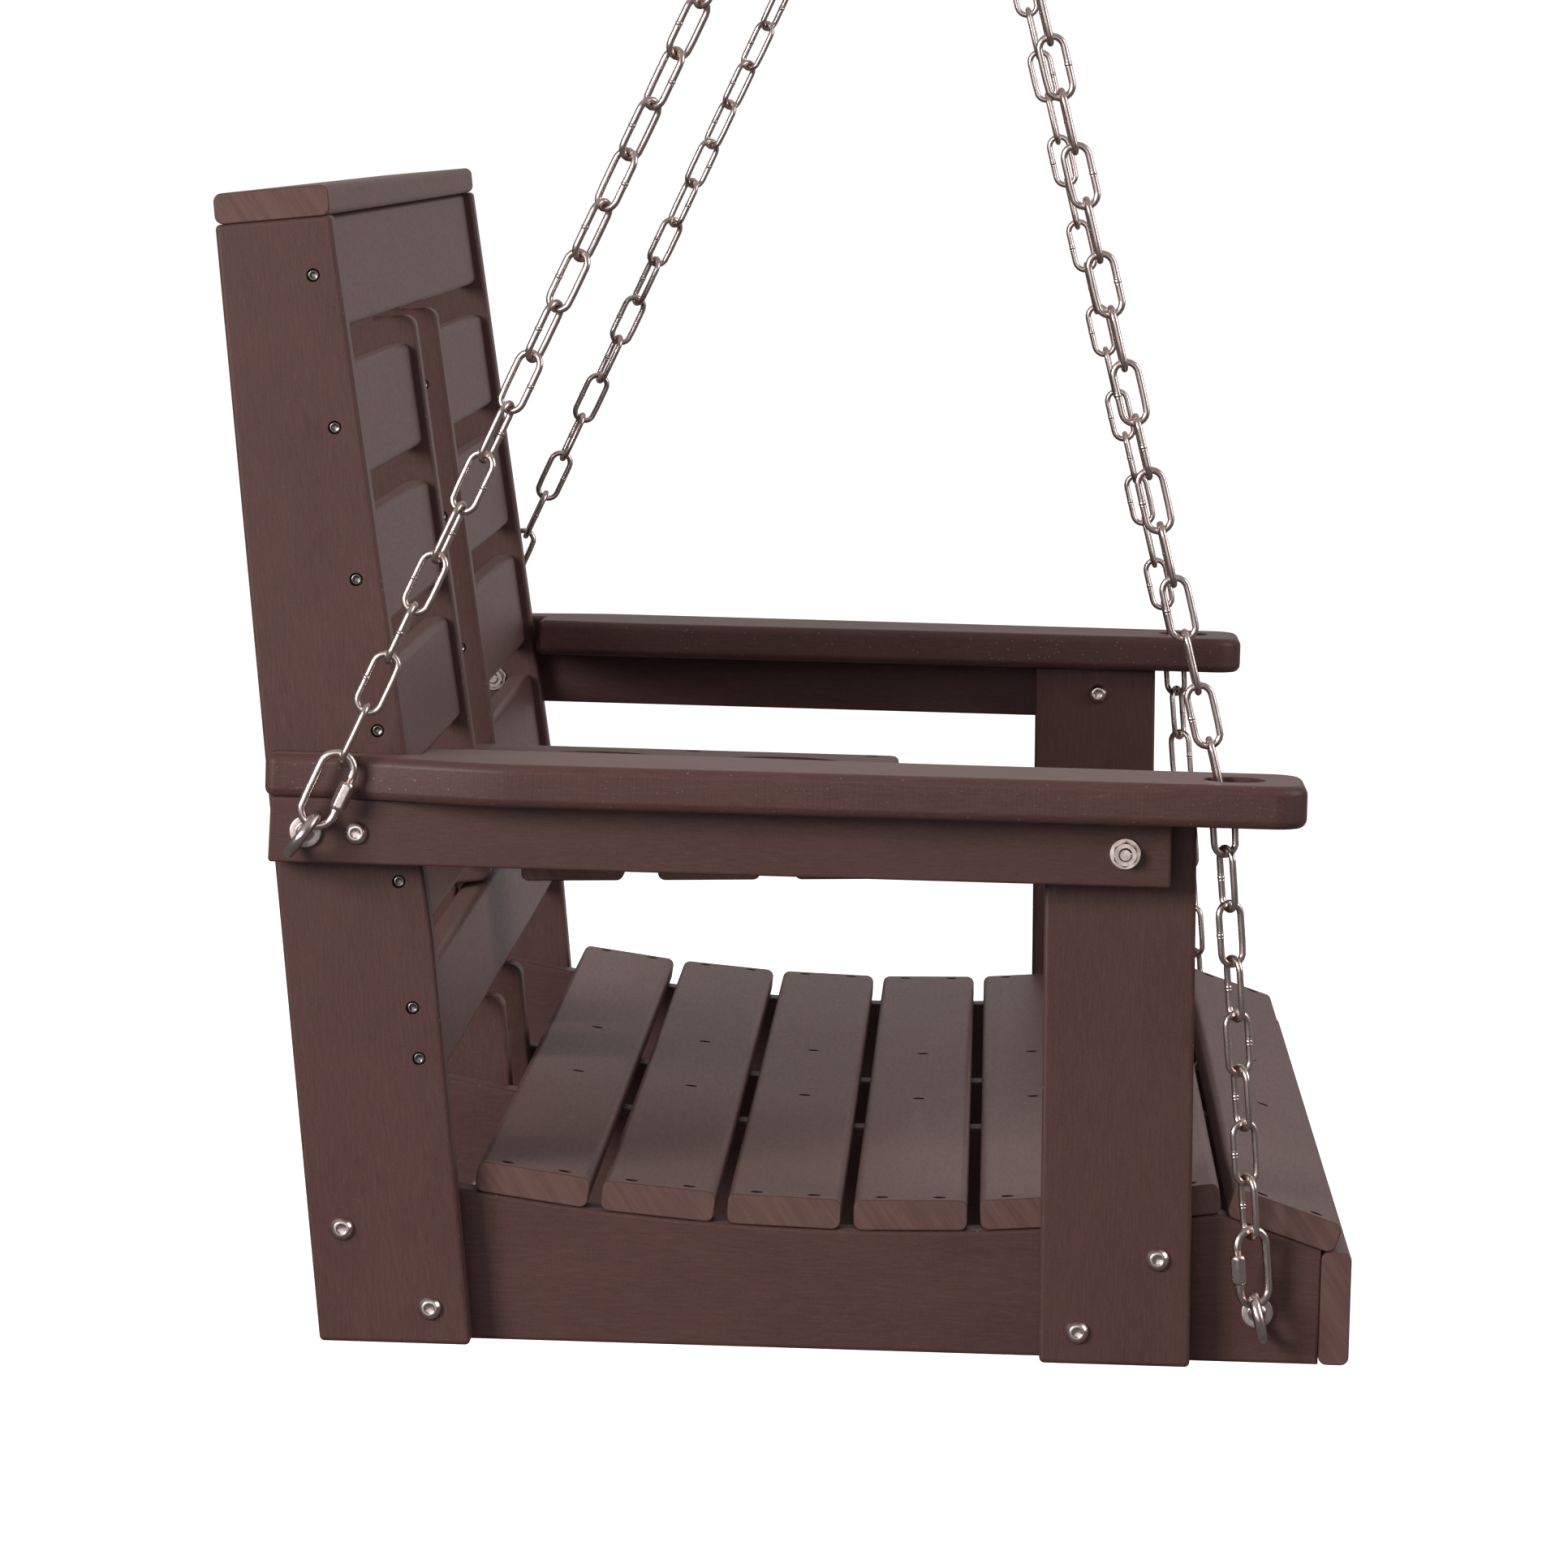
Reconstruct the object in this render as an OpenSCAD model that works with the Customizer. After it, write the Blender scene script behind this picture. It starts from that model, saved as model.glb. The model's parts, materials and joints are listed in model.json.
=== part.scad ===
// Two-seat porch swing of plank boards with a fold-down cup console between the seats,
// hung from two ceiling hooks on four link chains.
// +X is to the right seen from the front, the front of the seat faces -Y, +Z is up.
// The origin is on the ground plane of the frame, under the middle of the swing.

/* [Boards] */
// Thickness of the frame boards
board_t = 25; // [22:0.5:30]
// Width of the leg, post and divider boards
board_w = 88; // [80:1:96]
// Width of the slat boards
slat_w = 67; // [60:0.5:70]
// Thickness of the slat boards
slat_t = 18; // [16:0.5:20]
// Corner radius of the slat boards
slat_r = 5; // [2:0.5:7]

/* [Seat] */
// Length of the seat slats, between the side frames
seat_w = 1180; // [1000:10:1400]
// Distance from the front of the posts to the back of the legs, at the ground
frame_depth = 510; // [500:1:516]
// Length of the side rails in front of the posts
rail_overhang = 76; // [70:1:84]
// Number of seat slats on the hollow of the seat
hollow_slats = 6; // [4:1:6]
// Radius of the seat hollow, along the middle of the slats
hollow_r = 1450; // [1200:10:1800]
// Height of the lowest point of the seat hollow, along the middle of the slats
hollow_z = 80.8; // [76:0.2:90]
// Spacing of the seat slats along the hollow
seat_pitch = 74.4; // [70:0.1:76]
// Slope of the front slat
nose_tilt = 18; // [10:1:25]

/* [Back] */
// Recline of the rear legs
recline = 6.57; // [2:0.01:12]
// Length of the rear legs along their back edge
leg_l = 655.4; // [600:1:700]
// Width of the rear legs at the top
leg_top_w = 67.5; // [60:0.5:80]
// Distance up the leg at which its front edge starts to taper
taper_from = 230; // [180:1:240]
// Spacing of the back slats
row_pitch = 89; // [86:0.1:91]
// Distance up the leg of the top back slat
top_row = 621.5; // [615:0.1:625]
// Setback of the back slats behind the front edge of the legs
slat_setback = 6; // [2:0.5:10]

/* [Arms] */
// Height of the top of the arms
arm_z = 347; // [330:1:360]
// Width of the arms in front
arm_w = 95; // [85:1:110]
// Distance the arms stand out from the side frames
arm_out = 55; // [45:1:60]
// Radius of the front corners of the arms
arm_corner_r = 20; // [8:1:30]
// Radius of the chain holes in the arms
chain_hole_r = 18; // [15:0.5:20]
// Height of the rails under the arms
arm_rail_h = 38; // [30:1:45]
// Lean of the front posts towards the back
post_lean = 1; // [0:0.1:2]

/* [Console] */
// Clear width between the two back dividers
console_gap = 164; // [150:1:170]
// Length of the console in front of its pivot
console_l = 310; // [300:1:312]
// Height of the console top above its pivot
console_top_z = 39.6; // [38:0.1:41]
// Radius of the cup holes
cup_r = 43; // [35:0.5:45]
// Distance of the first cup hole in front of the pivot
cup_first = 113; // [105:1:120]
// Spacing of the two cup holes
cup_spacing = 121; // [112:1:125]

/* [Chains] */
// Wire diameter of the chain links
wire_d = 4; // [3:0.5:4]
// Outside width of a chain link
link_w = 18.5; // [17:0.5:20]
// Height of the middle of the hanging rings
ring_z = 1066; // [1040:1:1100]
// Number of links in a rear chain
rear_links = 24; // [22:2:26]
// Number of links in a front chain below the arm
front_links_low = 8; // [6:2:10]
// Number of links in a front chain above the arm
front_links_high = 23; // [21:2:25]

/* [Hidden] */
SIDES = [-1, 1];
SIDE_NAME = ["left", "right"];
clear = 0.3;
over = 1;

// Colours
brown = [0.36, 0.27, 0.25];
brown_light = [0.42, 0.33, 0.31];
steel = [0.78, 0.78, 0.8];

// Side frames
x_in = seat_w / 2;
x_out = x_in + board_t;
cap_back = (leg_l + slat_t - slat_r) * sin(recline) + slat_r * (1 - cos(recline))
    - (leg_top_w - slat_w) / 2 * cos(recline);
depth = slat_t + rail_overhang + frame_depth + cap_back;
y_front = -depth / 2;
y_rail = y_front + slat_t;
y_post = y_rail + rail_overhang;
y_leg = y_post + frame_depth;
post_h = arm_z - board_t;
arm_rail_z = post_h - arm_rail_h;

// Leg frame: u runs forward from the back edge of the leg, v runs up along it
taper = atan((board_w - leg_top_w) / (leg_l - taper_from));
function leg_u(v) = board_w - max(0, v - taper_from) * tan(taper);
function leg_pt(p) = [y_leg - p[0] * cos(recline) + p[1] * sin(recline),
                      p[0] * sin(recline) + p[1] * cos(recline)];
function leg_pts(list) = [for (p = list) leg_pt(p)];

// Back slats
slat_mid = slat_setback + slat_t / 2;
function row_v(i) = top_row - i * row_pitch;
function row_u(i) = leg_u(row_v(i)) - slat_mid;
function row_tilt(i) = recline + (row_v(i) > taper_from ? taper : 0);
divider_x = console_gap / 2;
row_len = x_in - divider_x - board_t;
low_screws = [[-0.5, 14.5], [0.5, -15.5]];
RAIL_X = [x_in - board_t / 2, divider_x + 1.5 * board_t];

// Seat hollow
hollow_y = y_post + 203;
hollow_mid_z = hollow_z + hollow_r;
function hollow_a(i) = (i - (hollow_slats - 1) / 2) * seat_pitch / hollow_r * 180 / PI;
bed = 0.42;
function rail_top(y) = hollow_mid_z
    - sqrt(pow(hollow_r + slat_t / 2 + bed, 2) - pow(y - hollow_y, 2));
nose_y = y_post - 53.8;
nose_z = 84.8;
nose_slope = tan(nose_tilt);
function nose_top(y) = nose_z - slat_t / 2 / cos(nose_tilt) - nose_slope * (nose_y - y);

// Rails: the rear end leans with the legs
rail_rear_y = y_leg - 4;
rail_rear_lean = 1.5;
rail_steps = 16;
rail_peak_y = y_post - 12;
rail_nose_y = rail_peak_y - 4;

// Bolts and screws
bolt_r = 4;
bolt_hole_r = 4.3;
head_r = 7;
head_h = 4.4;
washer_r = 9.2;
washer_t = 1.6;
nut_r = 7.5;
nut_h = 6.5;
thread_past = 2;
hex_r = 2.9;
hex_d = 2.2;
screw_head_r = 3.6;
screw_head_h = 2.6;
screw_r = 2.2;
screw_l = 45;
seat_screw_l = 38;
apron_spread = 12;
arm_screw_l = 55;
arm_screw_y = [y_post + 110, y_post + 250, y_post + 400];
sink = 1.4;
counter_r = 3.9;
counter_d = 5;
screw_hole_r = 2.5;
rear_bolts = [[y_post + 498.4, 67], [y_post + 445.8, 21.5]];
post_bolts = [[y_post + 20.6, 63.4], [y_post + 66.3, 19.1]];
middle_bolts = [[y_leg - 30, 66], [y_leg - 62, 24]];
arm_bolt_rear = [y_post + 493.3, 302.2];
arm_bolt_front = [y_post + 47.3, 303.3];

// Arms
arm_tip_y = y_post - 56.6;
arm_end_y = y_post + 547;
arm_in = arm_w - arm_out;
arm_waist = [y_post + 118, y_post + 384];
arm_flare = 10;
arm_curve = [y_post + 397, y_post + 522];
arm_tail = 27;
arm_notch_y = y_post + 461;
chain_hole = [x_out + 12, y_post - 15];
arm_rail_y = [y_post + 20.5, y_post + 544.3];

// Console, in its own frame: a runs forward from the pivot, b runs up
pivot_v = 253.4;
pivot_u = 42.1;
pivot = leg_pt([pivot_u, pivot_v]);
console_slope = 2;
console_w = console_gap - 4;
console_rear = 35;
console_x = console_w / 2;
slat_drop = (row_u(4) - pivot_u) * cos(taper) + (row_v(4) - pivot_v) * sin(taper);
function console_slat_a(i) = (row_v(i) - pivot_v) * cos(taper) - (row_u(i) - pivot_u) * sin(taper);
pivot_r = 4;
pivot_hole_r = 4.08;
pivot_past = 1.5;
pivot_seat = console_x - board_t - 0.4;
console_screw_x = console_x - board_t / 2;
console_screw_l = 34;
console_top_screws = [-18, 172, 292];

// Eye bolts and quick links
eye_wire = 6.5;
eye_r = 13.25;
eye_collar_r = 9.25;
eye_collar_h = 3;
eye_neck_r = 5.5;
eye_neck_top_r = 4.2;
eye_neck_h = 1.9;
eye_shank_r = 4;
eye_rear = [x_out + board_t, y_post + 522.5, 302.4];
eye_front = [x_in, y_post - 39.4, 30.3];
eye_gap = 1.5;
eye_stand = eye_collar_h + eye_r + eye_gap;
eye_rear_tilt = 54;
eye_front_tilt = 105;
quick_wire = 5.2;
quick_l = 44.8;
quick_w = 19.4;
quick_nut_r = 4.9;
quick_nut_l = 17;

// Chain routes
touch = 0.06;
ring = [x_out + 20, y_post + 181.7, ring_z];
ring_r = 21;
ring_wire = 8;
arm_bend = [x_out + 9, y_post - 8, 337];
function unit(v) = v / norm(v);
function tilt_dir(t) = [0, -cos(t), sin(t)];
function eye_mid(eye) = eye + [eye_stand, 0, 0];
quick_seat = eye_r - (eye_wire + quick_wire) / 2 - touch;
link_seat = ring_r - (ring_wire + wire_d) / 2 - touch;
rear_from = eye_mid(eye_rear) + quick_seat * tilt_dir(eye_rear_tilt);
rear_dir = unit(ring - rear_from);
front_from = eye_mid(eye_front) + quick_seat * tilt_dir(eye_front_tilt);
front_low_dir = unit(arm_bend - front_from);
chain_start = quick_l - (quick_wire + wire_d) / 2 - touch;
link_step = wire_d + touch;
rear_a = rear_from + chain_start * rear_dir;
rear_b = ring - link_seat * rear_dir;
front_a = front_from + chain_start * front_low_dir;
front_high_dir = unit(ring - arm_bend);
front_m = arm_bend - link_step / 2 * front_high_dir;
front_b = ring - link_seat * front_high_dir;

// Hooks
hook_wire = 8;
hook_r = 16;
hook_shank = 45;
hook_collar_r = 7.5;
hook_collar_h = 3;
hook_collar_z = 5;
hook_z = ring_z + ring_r - (ring_wire + hook_wire) / 2 - touch;

// ---- helpers ----------------------------------------------------------------

// Mirrors a right-hand part to side s
module on_side(s) {
    if (s < 0) mirror([1, 0, 0]) children();
    else children();
}

// Hole along X through a board that lies from x0 to x0 + l, at (y, z)
module x_bore(x0, p, r, l = board_t) {
    x_rod(x0 - over, p, r, l + 2 * over);
}

// Extrudes an outline in (y, z) along X from x0, t thick
module plate(x0, t) {
    translate([x0, 0, 0]) rotate([90, 0, 90]) linear_extrude(t) children();
}

// Cylinder along X from x0, l long, at (y, z)
module x_rod(x0, p, r, l) {
    translate([x0, p[0], p[1]]) rotate([0, 90, 0]) cylinder(h = l, r = r, $fn = 32);
}

// Section of a slat board, w wide and slat_t thick, with exact round corners
module slat_section(w = slat_w) {
    square([w - 2 * slat_r, slat_t], center = true);
    square([w, slat_t - 2 * slat_r], center = true);
    for (i = [-1, 1]) for (j = [-1, 1])
        translate([i * (w / 2 - slat_r), j * (slat_t / 2 - slat_r)]) circle(slat_r, $fn = 32);
}

// Slat board along X, centred at (y, z), turned by a from lying flat
module slat(l, p, a, x_mid = 0) {
    translate([x_mid - l / 2, p[0], p[1]]) rotate([90, 0, 90]) linear_extrude(l) rotate(a) slat_section();
}

// Outline points with corner i rounded by radius r[i]
function corner(a, b, c, r, n = 6) = r <= 0 ? [b] :
    let (p = unit(a - b), q = unit(c - b), h = acos(p * q) / 2)
    let (m = b + unit(p + q) * r / sin(h), t = r / tan(h))
    let (v = b + p * t - m, w = b + q * t - m)
    [for (k = [0:n]) m + unit(v * (n - k) / n + w * k / n) * r];
function rounded(pts, r) = let (n = len(pts))
    [for (i = [0:n - 1]) each corner(pts[(i + n - 1) % n], pts[i], pts[(i + 1) % n], r[i])];
function same(n, r) = [for (i = [1:n]) r];
function ease(t) = t * t * (3 - 2 * t);

// Places children so that their Z axis points along d, turned by roll about it
module along(p, d, roll = 0) {
    translate(p) rotate([0, acos(d[2] / norm(d)), atan2(d[1], d[0])]) rotate(roll) children();
}

// Closed oblong link in the XZ plane from z = 0 to l between wire centres, w between wire centres
module oblong(l, w, wire) {
    rotate([90, 0, 0]) {
        for (s = [0, 1])
            translate([0, s ? l - w / 2 : w / 2, 0]) rotate(s ? 0 : 180)
                rotate_extrude(angle = 180, $fn = 48) translate([w / 2, 0]) circle(wire / 2, $fn = 24);
        for (s = SIDES) translate([s * w / 2, w / 2, 0]) rotate([-90, 0, 0])
            cylinder(h = l - w, r = wire / 2, $fn = 24);
    }
}

// Torus in the plane of its children's X and Y axes
module torus(r, wire) {
    rotate_extrude($fn = 64) translate([r, 0]) circle(wire / 2, $fn = 24);
}

// ---- side frames ------------------------------------------------------------

function row_screws() = [for (i = [0:4]) leg_pt([row_u(i), row_v(i)]),
    for (p = low_screws) leg_pt([row_u(5), row_v(5)] + p)];

// The short slats of the middle rows are screwed to the dividers too
function divider_screws() = [for (i = [1:4]) leg_pt([row_u(i), row_v(i)])];

module leg_outline() {
    pts = leg_pts([[0, 0], [board_w, -board_w * tan(recline)], [board_w, taper_from],
                   [leg_top_w, leg_l], [0, leg_l]]);
    polygon(rounded(pts, [3, 3, 0, 3, 3]));
}

module rear_leg(s) {
    color(brown) on_side(s) difference() {
        plate(x_in, board_t) leg_outline();
        for (p = rear_bolts) x_bore(x_in, p, bolt_hole_r);
        x_bore(x_in, arm_bolt_rear, bolt_hole_r);
        x_bore(x_in, [eye_rear[1], eye_rear[2]], bolt_hole_r);
        for (p = row_screws()) {
            x_rod(x_out - counter_d, p, counter_r, counter_d + over);
            x_bore(x_in, p, screw_hole_r);
        }
    }
}

// The divider stands back behind the full-width slats of the first and last rows
module back_divider(s) {
    step = slat_setback + slat_t + clear;
    gap = 4;
    top = row_v(0) - slat_w / 2 - gap;
    low = row_v(5) + slat_w / 2 + gap;
    foot = row_v(5) - slat_w / 2 - gap;
    pts = leg_pts([[0, 0], [board_w, -board_w * tan(recline)], [board_w, foot],
        [board_w - step, foot], [board_w - step, low], [leg_u(low), low],
        [leg_u(top), top], [leg_u(top) - step, top], [leg_top_w - step, leg_l], [0, leg_l]]);
    color(brown) on_side(s) difference() {
        plate(divider_x, board_t) polygon(rounded(pts, [3, 3, 8, 0, 0, 8, 8, 0, 3, 3]));
        x_bore(divider_x, pivot, pivot_hole_r);
        for (p = middle_bolts) x_bore(divider_x, p, bolt_hole_r);
        for (p = divider_screws()) {
            x_rod(divider_x - over, p, counter_r, counter_d + over);
            x_bore(divider_x, p, screw_hole_r);
        }
    }
}

module front_post(s) {
    shift = post_h * tan(post_lean);
    pts = [[y_post, 0], [y_post + board_w, 0], [y_post + board_w + shift, post_h],
        [y_post + shift, post_h]];
    color(brown) on_side(s) difference() {
        plate(x_in, board_t) polygon(rounded(pts, [3, 3, 0, 0]));
        for (p = concat(post_bolts, [arm_bolt_front])) x_bore(x_in, p, bolt_hole_r);
    }
}

// Seat rail: straight below, hollow above, with a sloping nose
module rail_outline() {
    hollow = [for (k = [0:rail_steps])
        let (y = rail_rear_y + (rail_peak_y - rail_rear_y) * k / rail_steps) [y, rail_top(y)]];
    rear = [rail_rear_y - rail_rear_lean, 0];
    polygon(concat([rear], hollow,
        [[rail_nose_y, nose_top(rail_nose_y)], [y_rail, nose_top(y_rail)], [y_rail, 0]]));
}

module side_rail(s) {
    color(brown) on_side(s) difference() {
        plate(x_in - board_t, board_t) rail_outline();
        for (p = concat(rear_bolts, post_bolts)) x_bore(x_in - board_t, p, bolt_hole_r);
        x_bore(x_in - board_t, [eye_front[1], eye_front[2]], bolt_hole_r);
    }
}

module middle_rail(s) {
    color(brown) on_side(s) difference() {
        plate(divider_x + board_t, board_t) rail_outline();
        for (p = middle_bolts) x_bore(divider_x + board_t, p, bolt_hole_r);
    }
}

module arm_rail(s) {
    y0 = arm_rail_y[0];
    y1 = arm_rail_y[1];
    pts = [[y0, arm_rail_z], [y1, arm_rail_z], [y1 - 1, post_h], [y0, post_h]];
    color(brown) on_side(s) difference() {
        plate(x_out, board_t) polygon(rounded(pts, same(4, 2)));
        for (p = [arm_bolt_rear, arm_bolt_front, [eye_rear[1], eye_rear[2]]])
            x_bore(x_out, p, bolt_hole_r);
        for (y = arm_screw_y) translate([x_out + board_t / 2, y, arm_rail_z]) rotate([180, 0, 0]) {
            translate([0, 0, -counter_d]) cylinder(h = counter_d + over, r = counter_r, $fn = 24);
            translate([0, 0, -arm_rail_h - over])
                cylinder(h = arm_rail_h + 2 * over, r = screw_hole_r, $fn = 24);
        }
    }
}

// Arm outline in (x, y): its inner edge is waisted, its outer edge draws in behind the seat
module arm_outline() {
    n = 10;
    outer = [for (k = [0:n]) [x_out + arm_out + (arm_tail - arm_out) * ease(k / n),
        arm_curve[0] + (arm_curve[1] - arm_curve[0]) * k / n]];
    inner = [for (k = [n:-1:0]) [x_out - arm_in - arm_flare * ease(k / n),
        arm_waist[0] + (arm_waist[1] - arm_waist[0]) * k / n]];
    tail = x_out + arm_tail;
    base = concat([[x_out - arm_in, arm_tip_y], [x_out + arm_out, arm_tip_y]], outer,
        [[tail, arm_end_y], [x_out + clear, arm_end_y], [x_out + clear, arm_notch_y],
         [x_out - arm_in - arm_flare, arm_notch_y]], inner);
    radii = concat(same(2, arm_corner_r), same(n + 1, 0), [6, 3, 0, 4], same(n + 1, 0));
    polygon(rounded(base, radii));
}

module arm(s) {
    color(brown_light) on_side(s) translate([0, 0, post_h]) difference() {
        linear_extrude(board_t) arm_outline();
        translate([chain_hole[0], chain_hole[1], -over])
            cylinder(h = board_t + 2 * over, r = chain_hole_r, $fn = 64);
    }
}

// ---- seat and back ----------------------------------------------------------

// Screw places of a flat-lying slat: two over each side rail, one over each middle rail
module screw_places(spread = 17) {
    for (s = SIDES) for (o = [[RAIL_X[0], -spread], [RAIL_X[0], spread], [RAIL_X[1], 0]])
        translate([s * o[0], o[1], slat_t / 2]) children();
}

// Puts children at seat slat i, whose top faces along +Z in the slat's own frame
module at_seat_slat(i) {
    if (i <= hollow_slats)
        translate([0, hollow_y, hollow_mid_z]) rotate([-hollow_a(hollow_slats - i), 0, 0])
            translate([0, 0, -hollow_r]) children();
    else
        translate([0, nose_y, nose_z]) rotate([nose_tilt, 0, 0]) children();
}

module screw_sink() {
    translate([0, 0, -counter_d]) cylinder(h = counter_d + over, r = counter_r, $fn = 24);
    translate([0, 0, -slat_t - over]) cylinder(h = slat_t + 2 * over, r = screw_hole_r, $fn = 24);
}

module screw(l) {
    translate([0, 0, -screw_head_h]) cylinder(h = screw_head_h, r = screw_head_r, $fn = 24);
    translate([0, 0, -l]) cylinder(h = l - screw_head_h, r = screw_r, $fn = 24);
}

module seat_slat(i) {
    color(brown_light) at_seat_slat(i) difference() {
        slat(seat_w, [0, 0], 0);
        screw_places() screw_sink();
    }
}

module at_apron() {
    translate([0, y_front + slat_t / 2, slat_w / 2]) rotate([90, 0, 0]) children();
}

module front_apron() {
    color(brown) at_apron() difference() {
        slat(seat_w, [0, 0], 0);
        screw_places(apron_spread) screw_sink();
    }
}

module cap_rail() {
    p = leg_pt([leg_top_w / 2, leg_l + slat_t / 2]);
    color(brown_light) slat(2 * x_out, p, -recline);
}

module back_row(i, l, x_mid = 0) {
    color(brown) slat(l, leg_pt([row_u(i), row_v(i)]), 90 - row_tilt(i), x_mid);
}

// ---- console ----------------------------------------------------------------

function console_pt(p) = [pivot[0] - p[0], pivot[1] + p[1]];

module console_side(s) {
    rise = tan(console_slope);
    low = slat_t / 2 - slat_drop;
    top = console_top_z - slat_t;
    pts = [for (p = [[-console_rear, low - console_rear * rise], [console_l, low + console_l * rise],
        [console_l, top], [-console_rear, top]]) console_pt(p)];
    color(brown) on_side(s) difference() {
        plate(console_x - board_t, board_t) polygon(rounded(pts, [6, 3, 0, 0]));
        x_bore(console_x - board_t, pivot, pivot_hole_r);
    }
}

// Puts children at console slat i, in the slat's own frame
module at_console_slat(i) {
    translate([0, pivot[0], pivot[1]]) rotate([-console_slope, 0, 0])
        translate([0, -console_slat_a(5 - i), -slat_drop]) children();
}

module console_slat(i) {
    color(brown) at_console_slat(i) difference() {
        slat(console_w, [0, 0], 0);
        for (s = SIDES) translate([s * console_screw_x, 0, -slat_t / 2]) rotate([180, 0, 0]) screw_sink();
    }
}

module console_top() {
    z = pivot[1] + console_top_z;
    color(brown_light) difference() {
        translate([0, pivot[0], z - slat_t]) linear_extrude(slat_t)
            polygon(rounded([[-console_x, -console_l], [console_x, -console_l],
                [console_x, console_rear], [-console_x, console_rear]], [8, 8, 4, 4]));
        for (k = [0, 1]) translate([0, pivot[0] - cup_first - k * cup_spacing, z - slat_t - over])
            cylinder(h = slat_t + 2 * over, r = cup_r, $fn = 64);
        for (s = SIDES) for (a = console_top_screws)
            translate([s * console_screw_x, pivot[0] - a, z]) screw_sink();
    }
}

// Pivot bolt: the head bears on the divider, the shank carries the console side
module console_pivot_bolts() {
    inner = pivot_seat - washer_t - nut_h - pivot_past;
    color(steel) for (s = SIDES) on_side(s) {
        x_rod(divider_x + board_t, pivot, head_r, head_h);
        x_rod(inner, pivot, pivot_r, divider_x + board_t - inner);
    }
}

module console_screws() {
    color(steel) {
        for (i = [1:4]) at_console_slat(i) for (s = SIDES)
            translate([s * console_screw_x, 0, -slat_t / 2]) rotate([180, 0, 0])
                translate([0, 0, -sink]) screw(console_screw_l);
        for (s = SIDES) for (a = console_top_screws)
            translate([s * console_screw_x, pivot[0] - a, pivot[1] + console_top_z - sink])
                screw(console_screw_l);
    }
}

// ---- hardware ---------------------------------------------------------------

// Hexagon nut with its bore along X, from x0
module nut(x0, p, hole) {
    difference() {
        translate([x0, p[0], p[1]]) rotate([0, 90, 0]) cylinder(h = nut_h, r = nut_r, $fn = 6);
        x_bore(x0, p, hole, nut_h);
    }
}

// Bolt places: [point, head x, tip-side face x, direction of the head]
function bolt_table() = concat(
    [for (p = concat(rear_bolts, post_bolts)) [p, x_out, x_in - board_t, 1]],
    [for (p = middle_bolts) [p, divider_x + 2 * board_t, divider_x, 1]],
    [[arm_bolt_rear, x_out + board_t, x_in, 1], [arm_bolt_front, x_in, x_out + board_t, -1]]);

module frame_bolt(b) {
    past = washer_t + nut_h + thread_past;
    d = b[3];
    difference() {
        x_rod(d > 0 ? b[1] : b[1] - head_h, b[0], head_r, head_h);
        translate([d > 0 ? b[1] + head_h - hex_d : b[1] - head_h - over, b[0][0], b[0][1]])
            rotate([0, 90, 0]) cylinder(h = hex_d + over, r = hex_r, $fn = 6);
    }
    x_rod(min(b[1], b[2] - d * past), b[0], bolt_r, abs(b[1] - b[2]) + past);
}

module frame_bolts() {
    color(steel) for (s = SIDES) on_side(s) for (b = bolt_table()) frame_bolt(b);
}

module washer(x0, p) {
    difference() {
        x_rod(x0, p, washer_r, washer_t);
        x_bore(x0, p, bolt_r, washer_t);
    }
}

module frame_washers() {
    color(steel) for (s = SIDES) on_side(s) {
        for (b = bolt_table()) washer(b[3] > 0 ? b[2] - washer_t : b[2], b[0]);
        washer(pivot_seat - washer_t, pivot);
        washer((divider_x + console_x - washer_t) / 2, pivot);
    }
}

module frame_nuts() {
    color(steel) for (s = SIDES) on_side(s) {
        for (b = bolt_table()) nut(b[3] > 0 ? b[2] - washer_t - nut_h : b[2] + washer_t, b[0], bolt_r);
        nut(pivot_seat - washer_t - nut_h, pivot, pivot_r);
    }
}

// Screws through the legs and dividers into the ends of the back slats
module back_screws() {
    color(steel) for (s = SIDES) on_side(s) {
        for (p = row_screws()) translate([x_out - sink, p[0], p[1]]) rotate([0, 90, 0]) screw(screw_l);
        for (p = divider_screws())
            translate([divider_x + sink, p[0], p[1]]) rotate([0, -90, 0]) screw(screw_l);
    }
}

module seat_screws() {
    color(steel) {
        for (i = [1:hollow_slats + 1]) at_seat_slat(i) screw_places()
            translate([0, 0, -sink]) screw(seat_screw_l);
        at_apron() screw_places(apron_spread) translate([0, 0, -sink]) screw(seat_screw_l);
    }
}

// Screws up through the rails under the arms
module arm_screws() {
    color(steel) for (s = SIDES) on_side(s) for (y = arm_screw_y)
        translate([x_out + board_t / 2, y, arm_rail_z + sink]) rotate([180, 0, 0]) screw(arm_screw_l);
}

// Eye bolt along X: nut end inside, collar on the outer face, eye outside
module eye_bolt(p, tilt, shank) {
    translate(p) {
        rotate([0, 90, 0]) cylinder(h = eye_collar_h, r = eye_collar_r, $fn = 32);
        translate([-shank, 0, 0]) rotate([0, 90, 0]) cylinder(h = shank, r = eye_shank_r, $fn = 32);
        translate([eye_collar_h, 0, 0]) rotate([0, 90, 0])
            cylinder(h = eye_neck_h, r1 = eye_neck_r, r2 = eye_neck_top_r, $fn = 32);
        translate([eye_stand, 0, 0]) rotate([-tilt, 0, 0]) torus(eye_r, eye_wire);
    }
}

module eye_bolts() {
    past = washer_t + nut_h + thread_past;
    color(steel) for (s = SIDES) on_side(s) {
        eye_bolt(eye_rear, eye_rear_tilt, 2 * board_t + past);
        eye_bolt(eye_front, eye_front_tilt, board_t + past);
    }
}

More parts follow.
